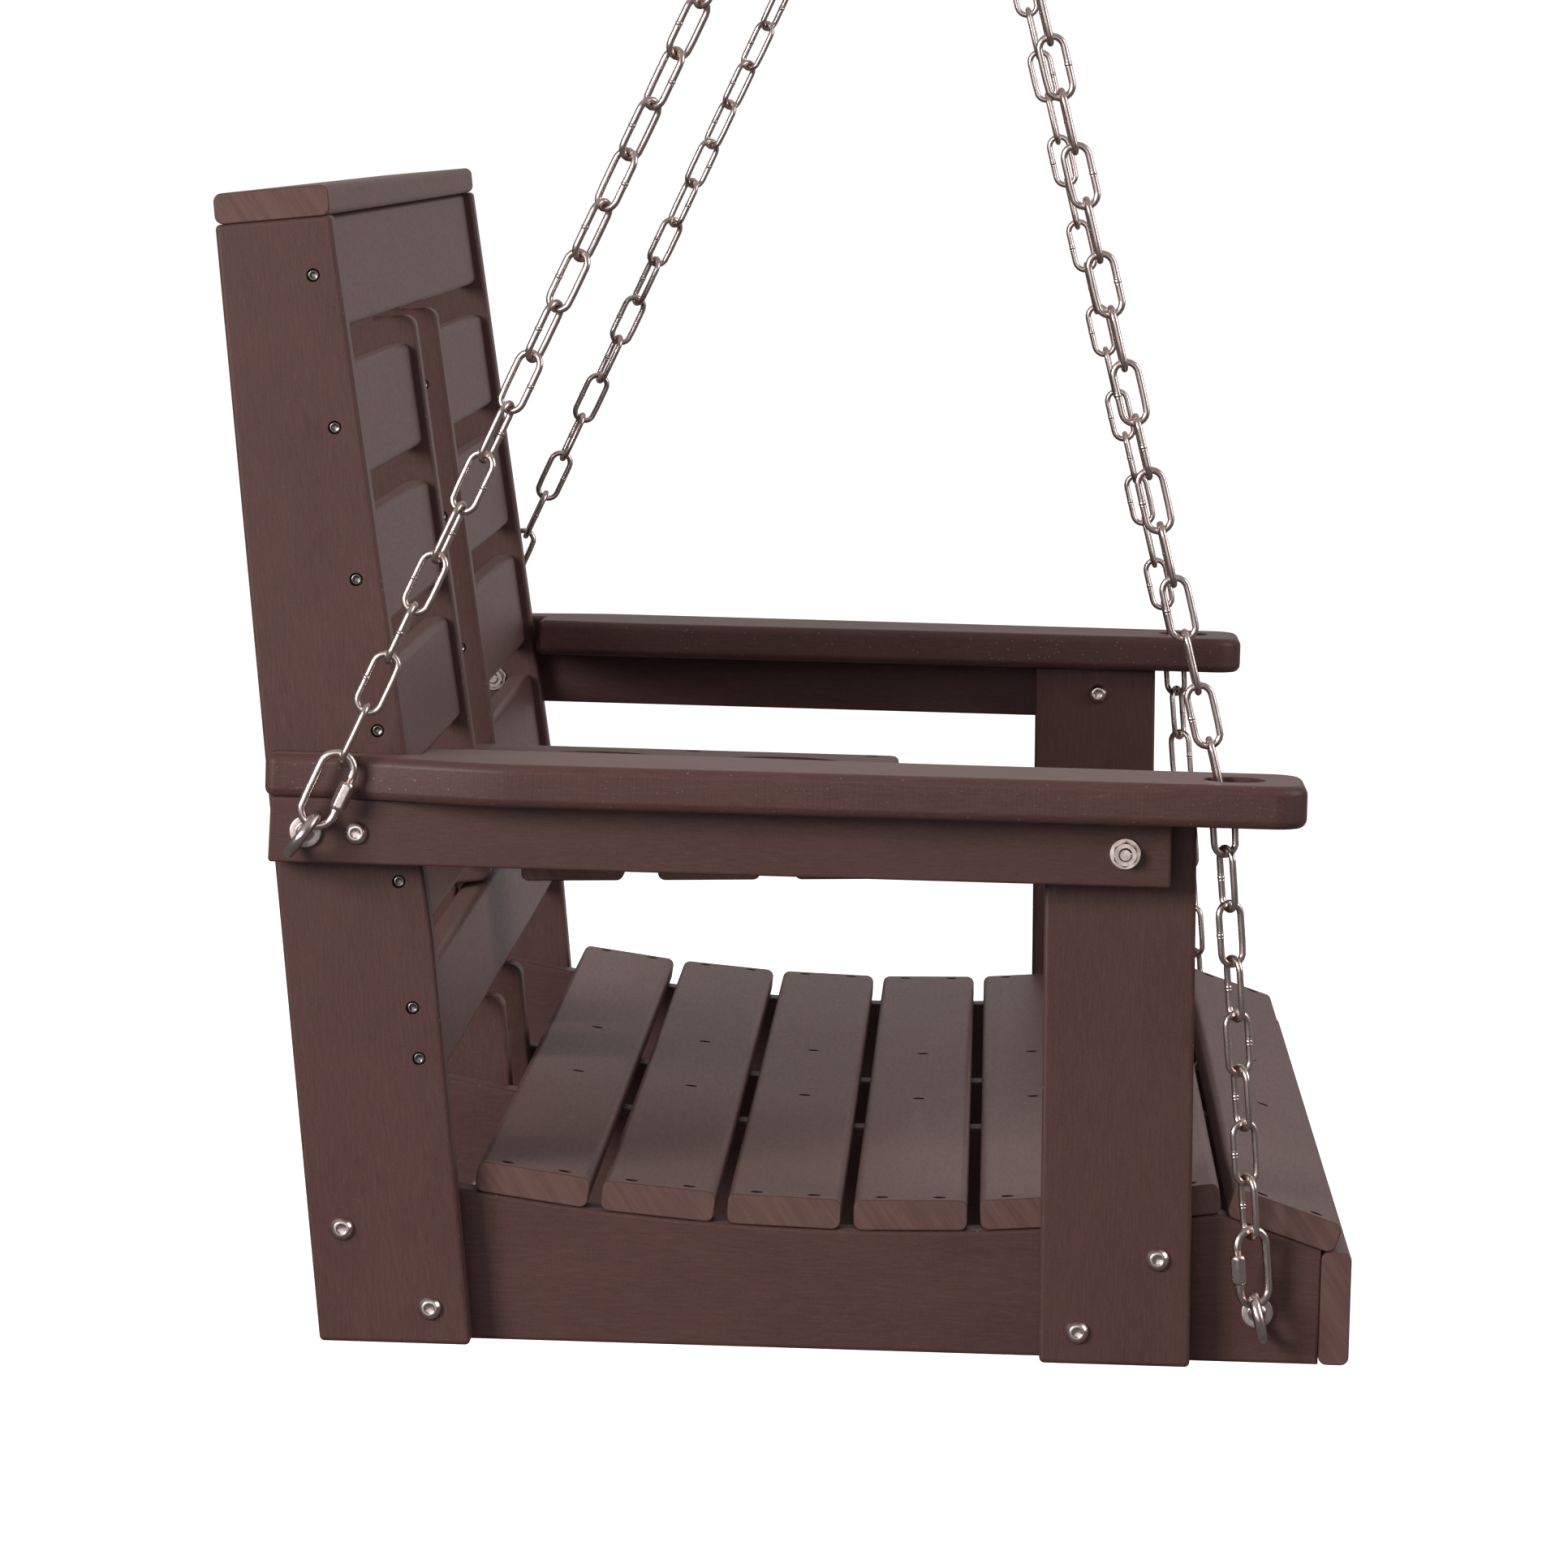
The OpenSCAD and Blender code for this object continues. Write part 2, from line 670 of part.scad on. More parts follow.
module eye_bolt_nuts() {
    color(steel) for (s = SIDES) on_side(s) for (e = [[eye_rear, 2 * board_t], [eye_front, board_t]]) {
        p = [e[0][1], e[0][2]];
        x = e[0][0] - e[1];
        difference() {
            union() {
                x_rod(x - washer_t, p, washer_r, washer_t);
                translate([x - washer_t - nut_h, p[0], p[1]]) rotate([0, 90, 0])
                    cylinder(h = nut_h, r = nut_r, $fn = 6);
            }
            x_bore(x - washer_t - nut_h, p, eye_shank_r, washer_t + nut_h);
        }
    }
}

// Turn of a link about its own length that lays it in the plane of X, or across it
function link_roll(i, twist = 0) = (i % 2 == 0 ? 90 : 0) + twist * i;

module quick_link(p, d) {
    along(p, d) oblong(quick_l, quick_w, quick_wire);
}

module quick_links() {
    color(steel) for (s = SIDES) on_side(s) {
        quick_link(rear_from, rear_dir);
        quick_link(front_from, front_low_dir);
    }
}

module quick_link_nut(p, d) {
    along(p, d) translate([quick_w / 2, 0, (quick_l - quick_nut_l) / 2]) difference() {
        cylinder(h = quick_nut_l, r = quick_nut_r, $fn = 6);
        translate([0, 0, -over]) cylinder(h = quick_nut_l + 2 * over, r = quick_wire / 2, $fn = 24);
    }
}

module quick_link_nuts() {
    color(steel) for (s = SIDES) on_side(s) {
        quick_link_nut(rear_from, rear_dir);
        quick_link_nut(front_from, front_low_dir);
    }
}

// n links from wire centre a to wire centre b, starting with link number first
module chain_run(a, b, n, first = 0, twist = 0) {
    d = unit(b - a);
    step = (norm(b - a) - link_step) / n;
    for (i = [0:n - 1]) along(a + d * i * step, d, link_roll(i + first, twist))
        oblong(step + link_step, link_w - wire_d, wire_d);
}

module chain_rear(s) {
    color(steel) on_side(s) chain_run(rear_a, rear_b, rear_links, 0, 90 / (rear_links - 1));
}

module chain_front(s) {
    color(steel) on_side(s) {
        chain_run(front_a, arm_bend + link_step / 2 * front_low_dir, front_links_low);
        chain_run(front_m, front_b, front_links_high, front_links_low);
    }
}

module hanging_ring(s) {
    color(steel) on_side(s) translate(ring) rotate([0, 90, 0]) torus(ring_r, ring_wire);
}

// Open hook across the ring, with a collar and a screw shank above
module ceiling_hook(s) {
    color(steel) on_side(s) translate([ring[0], ring[1], hook_z + hook_r]) {
        rotate([90, 0, 0]) rotate(-220) rotate_extrude(angle = 310, $fn = 64)
            translate([hook_r, 0]) circle(hook_wire / 2, $fn = 24);
        translate([0, 0, hook_r]) cylinder(h = hook_shank, r = hook_wire / 2, $fn = 24);
        translate([0, 0, hook_r + hook_collar_z])
            cylinder(h = hook_collar_h, r = hook_collar_r, $fn = 32);
    }
}

// ---- nodes ------------------------------------------------------------------

for (k = [0, 1]) {
    s = SIDES[k];
    w = SIDE_NAME[k];
    rear_leg(s);
    back_divider(s);
    side_rail(s);
    middle_rail(s);
    front_post(s);
    arm(s);
    arm_rail(s);
    console_side(s);
    chain_rear(s);
    chain_front(s);
    hanging_ring(s);
    ceiling_hook(s);
    for (i = [1:4])
        back_row(i, row_len, s * (x_in - row_len / 2));
}
for (i = [1:hollow_slats + 1])
    seat_slat(i);
for (i = [1:4])
    console_slat(i);
cap_rail();
back_row(0, seat_w);  // back_slat_top
back_row(5, seat_w);  // back_slat_bottom
front_apron();
console_top();
console_pivot_bolts();
console_screws();
eye_bolts();
eye_bolt_nuts();
quick_links();
quick_link_nuts();
frame_bolts();
frame_washers();
frame_nuts();
back_screws();
seat_screws();
arm_screws();
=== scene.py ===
import json
import math

import bmesh
import bpy
import numpy as np
from mathutils import Matrix, Vector
from mathutils.geometry import tessellate_polygon


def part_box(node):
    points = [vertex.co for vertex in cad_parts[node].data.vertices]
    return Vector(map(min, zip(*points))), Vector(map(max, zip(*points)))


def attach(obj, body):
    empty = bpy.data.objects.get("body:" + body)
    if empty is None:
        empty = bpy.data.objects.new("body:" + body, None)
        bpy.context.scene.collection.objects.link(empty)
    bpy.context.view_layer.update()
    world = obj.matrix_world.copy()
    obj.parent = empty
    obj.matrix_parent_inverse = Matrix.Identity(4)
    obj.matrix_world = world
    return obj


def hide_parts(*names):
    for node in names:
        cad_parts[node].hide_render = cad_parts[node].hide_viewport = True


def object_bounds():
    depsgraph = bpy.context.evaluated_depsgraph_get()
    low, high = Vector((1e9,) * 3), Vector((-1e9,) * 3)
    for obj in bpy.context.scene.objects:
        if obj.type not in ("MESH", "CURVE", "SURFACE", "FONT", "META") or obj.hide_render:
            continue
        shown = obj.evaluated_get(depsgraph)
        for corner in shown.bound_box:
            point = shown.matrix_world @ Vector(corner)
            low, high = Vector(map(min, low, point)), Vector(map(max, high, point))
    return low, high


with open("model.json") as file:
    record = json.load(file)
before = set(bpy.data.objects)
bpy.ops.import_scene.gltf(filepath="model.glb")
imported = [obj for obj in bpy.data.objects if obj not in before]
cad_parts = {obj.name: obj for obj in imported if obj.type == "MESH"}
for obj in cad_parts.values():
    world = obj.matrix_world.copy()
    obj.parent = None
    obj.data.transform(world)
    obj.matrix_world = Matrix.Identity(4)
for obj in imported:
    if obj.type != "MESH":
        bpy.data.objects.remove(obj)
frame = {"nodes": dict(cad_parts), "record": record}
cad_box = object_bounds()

# The looks of a plank porch swing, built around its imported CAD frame, in metres.
# +X is to the right seen from the front, the seat faces -Y, +Z is up.

MM = 0.001
SIDES = ("left", "right")
BODIES = frame["record"]["behaviour"]["bodies"]
BODY_OF = {node: body for body, nodes in BODIES.items() for node in nodes}


# ---- materials ---------------------------------------------------------------


class Nodes:
    """A material's node tree, built with short calls."""

    def __init__(self, name):
        self.material = bpy.data.materials.new(name)
        self.material.use_nodes = True
        self.tree = self.material.node_tree
        self.shader = self.tree.nodes["Principled BSDF"]

    def add(self, kind, inputs=None, **settings):
        node = self.tree.nodes.new(kind)
        for key, value in settings.items():
            setattr(node, key, value)
        for key, value in (inputs or {}).items():
            self.put(node.inputs[key], value)
        return node

    def put(self, socket, value):
        if isinstance(value, bpy.types.NodeSocket):
            self.tree.links.new(value, socket)
        else:
            socket.default_value = value

    def set(self, **values):
        for key, value in values.items():
            self.put(self.shader.inputs[key.replace("_", " ")], value)

    def math(self, operation, a, b=0.0):
        return self.add("ShaderNodeMath", {0: a, 1: b}, operation=operation).outputs[0]

    def noise(self, vector, scale=1.0, detail=3.0, rough=0.6):
        return self.add("ShaderNodeTexNoise", {
            "Vector": vector, "Scale": scale, "Detail": detail, "Roughness": rough}).outputs["Fac"]

    def steps(self, value, low, high, out_low=0.0, out_high=1.0):
        """The value taken smoothly from low..high to out_low..out_high, and held beyond them."""
        return self.add("ShaderNodeMapRange", {
            "Value": value, "From Min": low, "From Max": high, "To Min": out_low, "To Max": out_high},
            interpolation_type="SMOOTHSTEP").outputs["Result"]

    def mix(self, factor, a, b):
        node = self.add("ShaderNodeMix", data_type="RGBA")
        self.put(node.inputs["Factor"], factor)
        self.put(node.inputs["A"], a)
        self.put(node.inputs["B"], b)
        return node.outputs["Result"]

    def stretch(self, vector, scale, turn=(0.0, 0.0, 0.0)):
        """The vector turned, then scaled, so that noise read with it is drawn out along an axis."""
        turned = self.add("ShaderNodeMapping", {"Vector": vector, "Rotation": turn}).outputs["Vector"]
        return self.add("ShaderNodeMapping", {"Vector": turned, "Scale": scale}).outputs["Vector"]


def shade(*rgb):
    """An sRGB colour of 11 to 255 a channel as linear RGBA."""
    return tuple(((c / 255 + 0.055) / 1.055) ** 2.4 for c in rgb) + (1.0,)


BROWN = shade(82, 54, 50)
BROWN_PALE = shade(87, 59, 54)
BROWN_COOL = shade(78, 53, 50)
STREAK_LIGHT = shade(106, 76, 70)
STREAK_DARK = shade(62, 41, 38)
SAWN_DARK = shade(96, 68, 63)
SAWN_LIGHT = shade(105, 77, 71)
SAWN_PALE = shade(120, 92, 85)
FLECK = shade(162, 138, 128)
# the two dark browns below are painted shade for the walls of the counterbores
BORE_SHADE_DARK = shade(34, 22, 20)
BORE_SHADE_LIGHT = shade(52, 34, 31)
STEEL_GRIT = shade(120, 114, 110)

GRAIN = {"x": (1.0, 0.0, 0.0), "y": (0.0, 1.0, 0.0), "z": (0.0, 0.0, 1.0)}

# noise cells per metre, across a board and along it
STREAKS = (1050.0, 85.0)
BROAD_BANDS = (70.0, 2.0)
CLOUDS = (26.0, 12.0)
FLECKS = (640.0, 420.0)
GLOSS = (400.0, 60.0)
# noise cells per metre, the same all ways
SPECKS = 800.0
PITS = 1500.0
# noise cells per metre on a sawn end: into the board, across the saw's bands and along them
SAW_BANDS = (20.0, 205.0, 17.0)
SAW_TEETH = (60.0, 1300.0, 50.0)
# which of those three runs along X, Y and Z, for each long axis of a board
SAW_ORDER = {"x": (0, 1, 2), "y": (1, 0, 2), "z": (1, 2, 0)}
SAW_SLANT = math.radians(35)
CUTTER_MARKS = (40.0, 620.0, 3.0)  # noise cells per metre along X, Y and Z

FLECK_RARITY = 0.955  # the share of cells without a fleck
FLECK_STRENGTH = 0.5
BOARD_ROUGH = (0.43, 0.47)
SAWN_ROUGH = (0.62, 0.62, 0.62, 1.0)
BOARD_SPECULAR = 0.25
BOARD_SHEEN = 0.07
SHEEN_TINT = (0.9, 0.62, 0.56, 1.0)
STREAK_RELIEF = 0.4
PIT_RELIEF = 0.35
TOOTH_RELIEF = 1.2
BOARD_BUMP = 0.35
BOARD_BUMP_HEIGHT = 0.3 * MM


def board_material(name, grain, lean=0.0, chatter=0.0):
    """Extruded brown plastic lumber: fine streaks and flecks along the board, saw marks on its ends.
    grain is the board's long axis, lean tips it back about X, in radians, and chatter is how deep
    the cutter marks are across its upright faces."""
    n = Nodes(name)
    place = n.add("ShaderNodeTexCoord")
    point, normal = place.outputs["Object"], place.outputs["Normal"]
    turn = (lean, 0.0, 0.0)
    long_axis = GRAIN[grain]
    slant = tuple(SAW_SLANT * a for a in long_axis)

    def along(cells):
        """Coordinates with that many noise cells per metre across the board and along it."""
        across_board, along_board = cells
        return n.stretch(point, tuple(along_board if a else across_board for a in long_axis), turn)

    def on_end(cells):
        """Coordinates slanted across the board's ends."""
        return n.stretch(point, tuple(cells[i] for i in SAW_ORDER[grain]), slant)

    # streaks and soft clouds
    streak = n.noise(along(STREAKS))
    speck = n.noise(point, SPECKS, detail=2.0)
    broad = n.noise(along(BROAD_BANDS), rough=0.5)
    cloud = n.noise(along(CLOUDS), detail=4.0)
    base = n.mix(n.steps(cloud, 0.32, 0.68), BROWN, BROWN_PALE)
    base = n.mix(n.steps(broad, 0.3, 0.7, 0.0, 0.15), base, BROWN_COOL)
    base = n.mix(n.steps(streak, 0.5, 0.78, 0.0, 0.38), base, STREAK_LIGHT)
    base = n.mix(n.steps(streak, 0.5, 0.24, 0.0, 0.42), base, STREAK_DARK)
    base = n.mix(n.steps(speck, 0.52, 0.75, 0.0, 0.25), base, STREAK_LIGHT)
    base = n.mix(n.steps(speck, 0.48, 0.25, 0.0, 0.3), base, STREAK_DARK)

    # pale flecks, short and sparse
    fleck = n.add("ShaderNodeTexVoronoi", {
        "Vector": along(FLECKS), "Scale": 1.0, "Randomness": 1.0}, feature="F1")
    cell = n.add("ShaderNodeSeparateColor", {"Color": fleck.outputs["Color"]}).outputs[0]
    picked = n.math("GREATER_THAN", cell, FLECK_RARITY)
    dot = n.math("MULTIPLY", n.steps(fleck.outputs["Distance"], 0.34, 0.16), picked)
    base = n.mix(n.math("MULTIPLY", dot, FLECK_STRENGTH), base, FLECK)

    # sawn ends, crossed by broad slanting bands
    upturned = n.add("ShaderNodeMapping", {"Vector": normal, "Rotation": turn}).outputs["Vector"]
    facing = n.math("ABSOLUTE", n.add("ShaderNodeVectorMath", {
        0: upturned, 1: long_axis}, operation="DOT_PRODUCT").outputs["Value"])
    end = n.steps(facing, 0.93, 0.985)
    saw = n.noise(on_end(SAW_BANDS))
    tooth = n.noise(on_end(SAW_TEETH), detail=2.0)
    sawn = n.mix(n.steps(saw, 0.36, 0.64), SAWN_DARK, SAWN_LIGHT)
    sawn = n.mix(n.steps(tooth, 0.4, 0.75, 0.0, 0.3), sawn, SAWN_PALE)
    n.set(Base_Color=n.mix(end, base, sawn))

    # gloss and sheen
    rough = n.steps(n.noise(along(GLOSS), rough=0.55), 0.3, 0.7, *BOARD_ROUGH)
    rough = n.mix(end, n.add("ShaderNodeCombineColor", {0: rough}).outputs[0], SAWN_ROUGH)
    n.set(Roughness=n.add("ShaderNodeSeparateColor", {"Color": rough}).outputs[0])
    n.shader.inputs["Specular IOR Level"].default_value = BOARD_SPECULAR
    n.shader.inputs["Sheen Weight"].default_value = BOARD_SHEEN
    n.shader.inputs["Sheen Roughness"].default_value = 0.5
    n.shader.inputs["Sheen Tint"].default_value = SHEEN_TINT

    # relief
    pits = n.noise(point, PITS, detail=2.0)
    relief = n.math("ADD", n.math("MULTIPLY", streak, STREAK_RELIEF),
                    n.math("MULTIPLY", pits, PIT_RELIEF))
    relief = n.math("ADD", relief, n.math("MULTIPLY", n.math("MULTIPLY", tooth, end), TOOTH_RELIEF))
    if chatter:
        height = n.add("ShaderNodeSeparateXYZ", {"Vector": normal}).outputs["Z"]
        upright = n.steps(n.math("ABSOLUTE", height), 0.5, 0.1)
        cuts = n.noise(n.stretch(point, CUTTER_MARKS), detail=2.0, rough=0.5)
        relief = n.math("ADD", relief, n.math("MULTIPLY", n.math("MULTIPLY", cuts, upright), chatter))
    bump = n.add("ShaderNodeBump", {
        "Height": relief, "Strength": BOARD_BUMP, "Distance": BOARD_BUMP_HEIGHT})
    n.set(Normal=bump.outputs["Normal"])
    return n.material


# mottling of the painted shade in the counterbores
BORE_SHADE_MOTTLE = 900.0  # noise cells per metre


def bore_shade_material():
    """Painted shade on the walls of the counterbores: two dark browns, mottled by noise."""
    n = Nodes("counterbores")
    fine_noise = n.noise(n.add("ShaderNodeTexCoord").outputs["Object"], BORE_SHADE_MOTTLE)
    n.set(Base_Color=n.mix(fine_noise, BORE_SHADE_DARK, BORE_SHADE_LIGHT))
    n.shader.inputs["Roughness"].default_value = 0.7
    n.shader.inputs["Specular IOR Level"].default_value = 0.1
    return n.material


# noise cells per metre
PLATING = 120.0
SCRATCHES = (900.0, 900.0, 130.0)
SCRATCH_TURN = (0.4, 0.7, 0.2)
STEEL_GRAINS = 2200.0
STEEL_BUMP_HEIGHT = 0.12 * MM
# each for clean steel, and what full pitting adds
STEEL_DIRT = (0.06, 0.55)
STEEL_BUMP = (0.12, 0.6)


def steel_material(name, bright, dull, rough_low, rough_high, pitted=0.0):
    """Zinc-plated or polished steel, with cloudy plating, fine scratches and optional pitting."""
    n = Nodes(name)
    point = n.add("ShaderNodeTexCoord").outputs["Object"]
    cloud = n.noise(point, PLATING)
    scratch = n.noise(n.stretch(point, SCRATCHES, SCRATCH_TURN), rough=0.7)
    fine_noise = n.noise(point, STEEL_GRAINS, rough=0.7)
    base = n.mix(n.steps(cloud, 0.3, 0.7), bright, dull)
    base = n.mix(n.steps(fine_noise, 0.45, 0.75, 0.0, STEEL_DIRT[0] + STEEL_DIRT[1] * pitted), base,
                 STEEL_GRIT)
    wear = n.math("ADD", n.math("MULTIPLY", cloud, 0.7), n.math("MULTIPLY", scratch, 0.3))
    rough = n.steps(wear, 0.35, 0.65, rough_low, rough_high)
    relief = n.math("ADD", n.math("MULTIPLY", scratch, 0.25), n.math("MULTIPLY", fine_noise, pitted))
    bump = n.add("ShaderNodeBump", {
        "Height": relief, "Strength": STEEL_BUMP[0] + STEEL_BUMP[1] * pitted,
        "Distance": STEEL_BUMP_HEIGHT})
    n.set(Base_Color=base, Roughness=rough, Normal=bump.outputs["Normal"])
    n.shader.inputs["Metallic"].default_value = 1.0
    return n.material


RECLINE = math.radians(6.57)
ARM_CHATTER = 1.6

BOARD_X = board_material("board_along_x", "x")
BOARD_Y = board_material("board_along_y", "y")
BOARD_Z = board_material("board_upright", "z")
BOARD_LEG = board_material("board_leg", "z", RECLINE)
BOARD_ARM = board_material("board_arm", "y", chatter=ARM_CHATTER)
# painted shade for the counterbore walls
BORE_PAINTED_SHADE = bore_shade_material()
CHAIN = steel_material("chain_links", shade(230, 211, 205), shade(202, 182, 176), 0.22, 0.32)
HARDWARE = steel_material("bright_hardware", shade(232, 213, 207), shade(202, 182, 176), 0.2, 0.32)
# screw heads: steel, painted darker to stand for the shade down in their counterbores
SCREW_PAINTED_SHADE = steel_material("screws_darkened_as_shade", shade(132, 124, 120), shade(100, 94, 91), 0.22, 0.36)
PLATED = steel_material("plated_collars", shade(208, 194, 189), shade(176, 163, 158), 0.4, 0.55, 0.8)


# ---- camera, floor and light ---------------------------------------------------

CAMERA_AT = Vector((-5.1065, -0.1127, 0.7310))
CAMERA_YAW = math.radians(1.441)
CAMERA_PITCH = math.radians(5.027)
CAMERA_ROLL = math.radians(1.549)
CAMERA_LENS = 177.92
CAMERA_SENSOR = 36.0
CAMERA_REACH = 100.0

FLOOR_DROP = 0.34  # the swing hangs this far above the floor
FLOOR_HALF = 30.0
FLOOR_CELLS = 8
FLOOR_LIGHT = (0.90, 0.90, 0.90, 1.0)
FLOOR_DARK = (0.87, 0.87, 0.87, 1.0)
HORIZON_LIGHT = 0.12
HORIZON_HEIGHT = 0.1
ZENITH_LIGHT = 0.4
FLOOR_GLOW = 0.9
WHITE = (1.0, 1.0, 1.0)
WARM = (1.0, 0.85, 0.82)
LIGHT_AIM = Vector((0.0, 0.0, 0.35))
LIGHTS = {  # where it stands, its size, its watts, its colour
    "key": ((-3.5, 2.6, 1.5), 1.5, 139.0, WHITE),
    "front": ((-0.9, -3.6, 2.0), 2.4, 70.0, WHITE),
    "camera_side": ((-5.0, 0.6, 0.8), 2.4, 24.0, WHITE),
    "far_screen": ((4.6, -0.8, 1.2), 4.4, 25.0, WARM),
}


def add_camera():
    forward = Vector((math.cos(CAMERA_PITCH) * math.cos(CAMERA_YAW),
                      math.cos(CAMERA_PITCH) * math.sin(CAMERA_YAW), -math.sin(CAMERA_PITCH)))
    right = forward.cross(Vector((0, 0, 1))).normalized()
    up = right.cross(forward)
    turned_right = right * math.cos(CAMERA_ROLL) + up * math.sin(CAMERA_ROLL)
    turned_up = up * math.cos(CAMERA_ROLL) - right * math.sin(CAMERA_ROLL)
    camera = bpy.data.objects.new("camera", bpy.data.cameras.new("camera"))
    camera.data.sensor_width = CAMERA_SENSOR
    camera.data.lens = CAMERA_LENS
    camera.data.clip_end = CAMERA_REACH
    columns = Matrix((turned_right, turned_up, -forward)).transposed().to_4x4()
    camera.matrix_world = Matrix.Translation(CAMERA_AT) @ columns
    bpy.context.scene.collection.objects.link(camera)
    bpy.context.scene.camera = camera


def add_light(name, at, size, watts, colour):
    light = bpy.data.lights.new(name, "AREA")
    light.size = size
    light.energy = watts
    light.color = colour
    lamp = bpy.data.objects.new(name, light)
    lamp.location = at
    lamp.rotation_euler = (LIGHT_AIM - Vector(at)).to_track_quat("-Z", "Y").to_euler()
    bpy.context.scene.collection.objects.link(lamp)


def add_studio():
    n = Nodes("studio_floor")
    point = n.add("ShaderNodeTexCoord").outputs["Object"]
    patches = n.noise(point, 1.3, rough=0.55)
    n.set(Base_Color=n.mix(n.steps(patches, 0.3, 0.7, 0.0, 0.5), FLOOR_LIGHT, FLOOR_DARK))
    n.shader.inputs["Roughness"].default_value = 0.9
    n.shader.inputs["Specular IOR Level"].default_value = 0.1
    n.shader.inputs["Emission Color"].default_value = (1.0, 1.0, 1.0, 1.0)
    n.shader.inputs["Emission Strength"].default_value = FLOOR_GLOW
    bm = bmesh.new()
    bmesh.ops.create_grid(bm, x_segments=FLOOR_CELLS, y_segments=FLOOR_CELLS, size=FLOOR_HALF)
    floor = add_mesh("studio_floor", bm, [n.material])
    floor.location.z = cad_box[0].z - FLOOR_DROP
    floor.visible_diffuse = False
    floor.visible_glossy = False

    world = bpy.data.worlds.new("studio")
    world.use_nodes = True
    tree = world.node_tree
    background = tree.nodes["Background"]
    background.inputs["Color"].default_value = (1.0, 1.0, 1.0, 1.0)
    # soft light that grows from the horizon to the zenith, in front of a white backdrop
    place = tree.nodes.new("ShaderNodeTexCoord")
    height = tree.nodes.new("ShaderNodeSeparateXYZ")
    glow = tree.nodes.new("ShaderNodeMapRange")
    glow.interpolation_type = "SMOOTHSTEP"
    glow.inputs["From Min"].default_value = HORIZON_HEIGHT
    glow.inputs["To Min"].default_value = HORIZON_LIGHT
    glow.inputs["To Max"].default_value = ZENITH_LIGHT
    seen = tree.nodes.new("ShaderNodeLightPath")
    strength = tree.nodes.new("ShaderNodeMix")
    strength.inputs["B"].default_value = 1.0
    tree.links.new(place.outputs["Generated"], height.inputs[0])
    tree.links.new(height.outputs["Z"], glow.inputs["Value"])
    tree.links.new(seen.outputs["Is Camera Ray"], strength.inputs["Factor"])
    tree.links.new(glow.outputs["Result"], strength.inputs["A"])
    tree.links.new(strength.outputs["Result"], background.inputs["Strength"])
    bpy.context.scene.world = world
    bpy.context.scene.view_settings.view_transform = "Standard"

    for name, (at, size, watts, colour) in LIGHTS.items():
        add_light(name, at, size, watts, colour)


def add_mesh(name, bm, materials):
    """A new object named name from a bmesh, which is freed."""
    bmesh.ops.recalc_face_normals(bm, faces=bm.faces)
    mesh = bpy.data.meshes.new(name)
    bm.to_mesh(mesh)
    bm.free()
    for material in materials:
        mesh.materials.append(material)
    piece = bpy.data.objects.new(name, mesh)
    bpy.context.scene.collection.objects.link(piece)
    return piece


# ---- meshes --------------------------------------------------------------------


SHARP_ANGLE = math.radians(38)
FACE_WEIGHT = 90


def finish_piece(name, bm, materials, node):
    """An object from a bmesh, smooth but for its real edges, standing for a CAD node on its body."""
    piece = add_mesh(name, bm, materials)
    piece.data.shade_smooth()
    piece.data.set_sharp_from_angle(angle=SHARP_ANGLE)
    weighted = piece.modifiers.new("even_shading", "WEIGHTED_NORMAL")
    weighted.keep_sharp = True
    weighted.weight = FACE_WEIGHT
    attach(piece, BODY_OF[node])
    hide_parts(node)


JOIN = 0.004 * MM
NOTHING = 0.001 * MM
ON_PLANE = 0.0001 * MM


def merged(node):
    """A CAD node's surface as a bmesh, with its split edges joined."""
    bm = bmesh.new()
    bm.from_mesh(frame["nodes"][node].data)
    bmesh.ops.remove_doubles(bm, verts=bm.verts, dist=JOIN)
    return bm


def open_loops(bm):
    """The open boundary of a mesh as closed loops of vertices, in order."""
    edges = dict.fromkeys(e for e in bm.edges if e.is_boundary)
    loops = []
    while edges:
        edge = next(iter(edges))
        del edges[edge]
        loop = [edge.verts[0]]
        vert = edge.verts[1]
        while vert is not loop[0]:
            loop.append(vert)
            edge = next(e for e in vert.link_edges if e in edges)
            del edges[edge]
            vert = edge.other_vert(vert)
        loops.append(loop)
    return loops


def signed_area(points):
    return sum(a.cross(b) for a, b in zip(points, points[1:] + points[:1])) / 2


MITRE_LIMIT = 0.3  # keeps the move finite at a very sharp corner


def mitres(points):
    """How far each point of a closed outline moves for a unit of inset to its left."""
    ahead = points[1:] + points[:1]
    normals = [Vector((a.y - b.y, b.x - a.x)).normalized() for a, b in zip(points, ahead)]
    pairs = zip(normals[-1:] + normals[:-1], normals)
    return [(before + after) / max(1 + before.dot(after), MITRE_LIMIT) for before, after in pairs]


ROUND_STEPS = 5
RIM = 0.35 * MM
SUPPORT = 0.5 * MM
FLAT = math.radians(0.3)
BORE_FACET = 8e-6  # facets smaller than this, in square metres, are walls of counterbores


def rounding(bend, height, support):
    """(inset, rise) of each ring of a rounded edge: straight up, then a quarter circle, then flat."""
    rings = [(0.0, height - bend)] if height - bend > NOTHING else []
    for i in range(1, ROUND_STEPS + 1):
        turn = math.pi / 2 * i / ROUND_STEPS
        rings.append((bend * (1 - math.cos(turn)), height - bend + bend * math.sin(turn)))
    if support:
        rings.append((bend + support, height))
    return rings


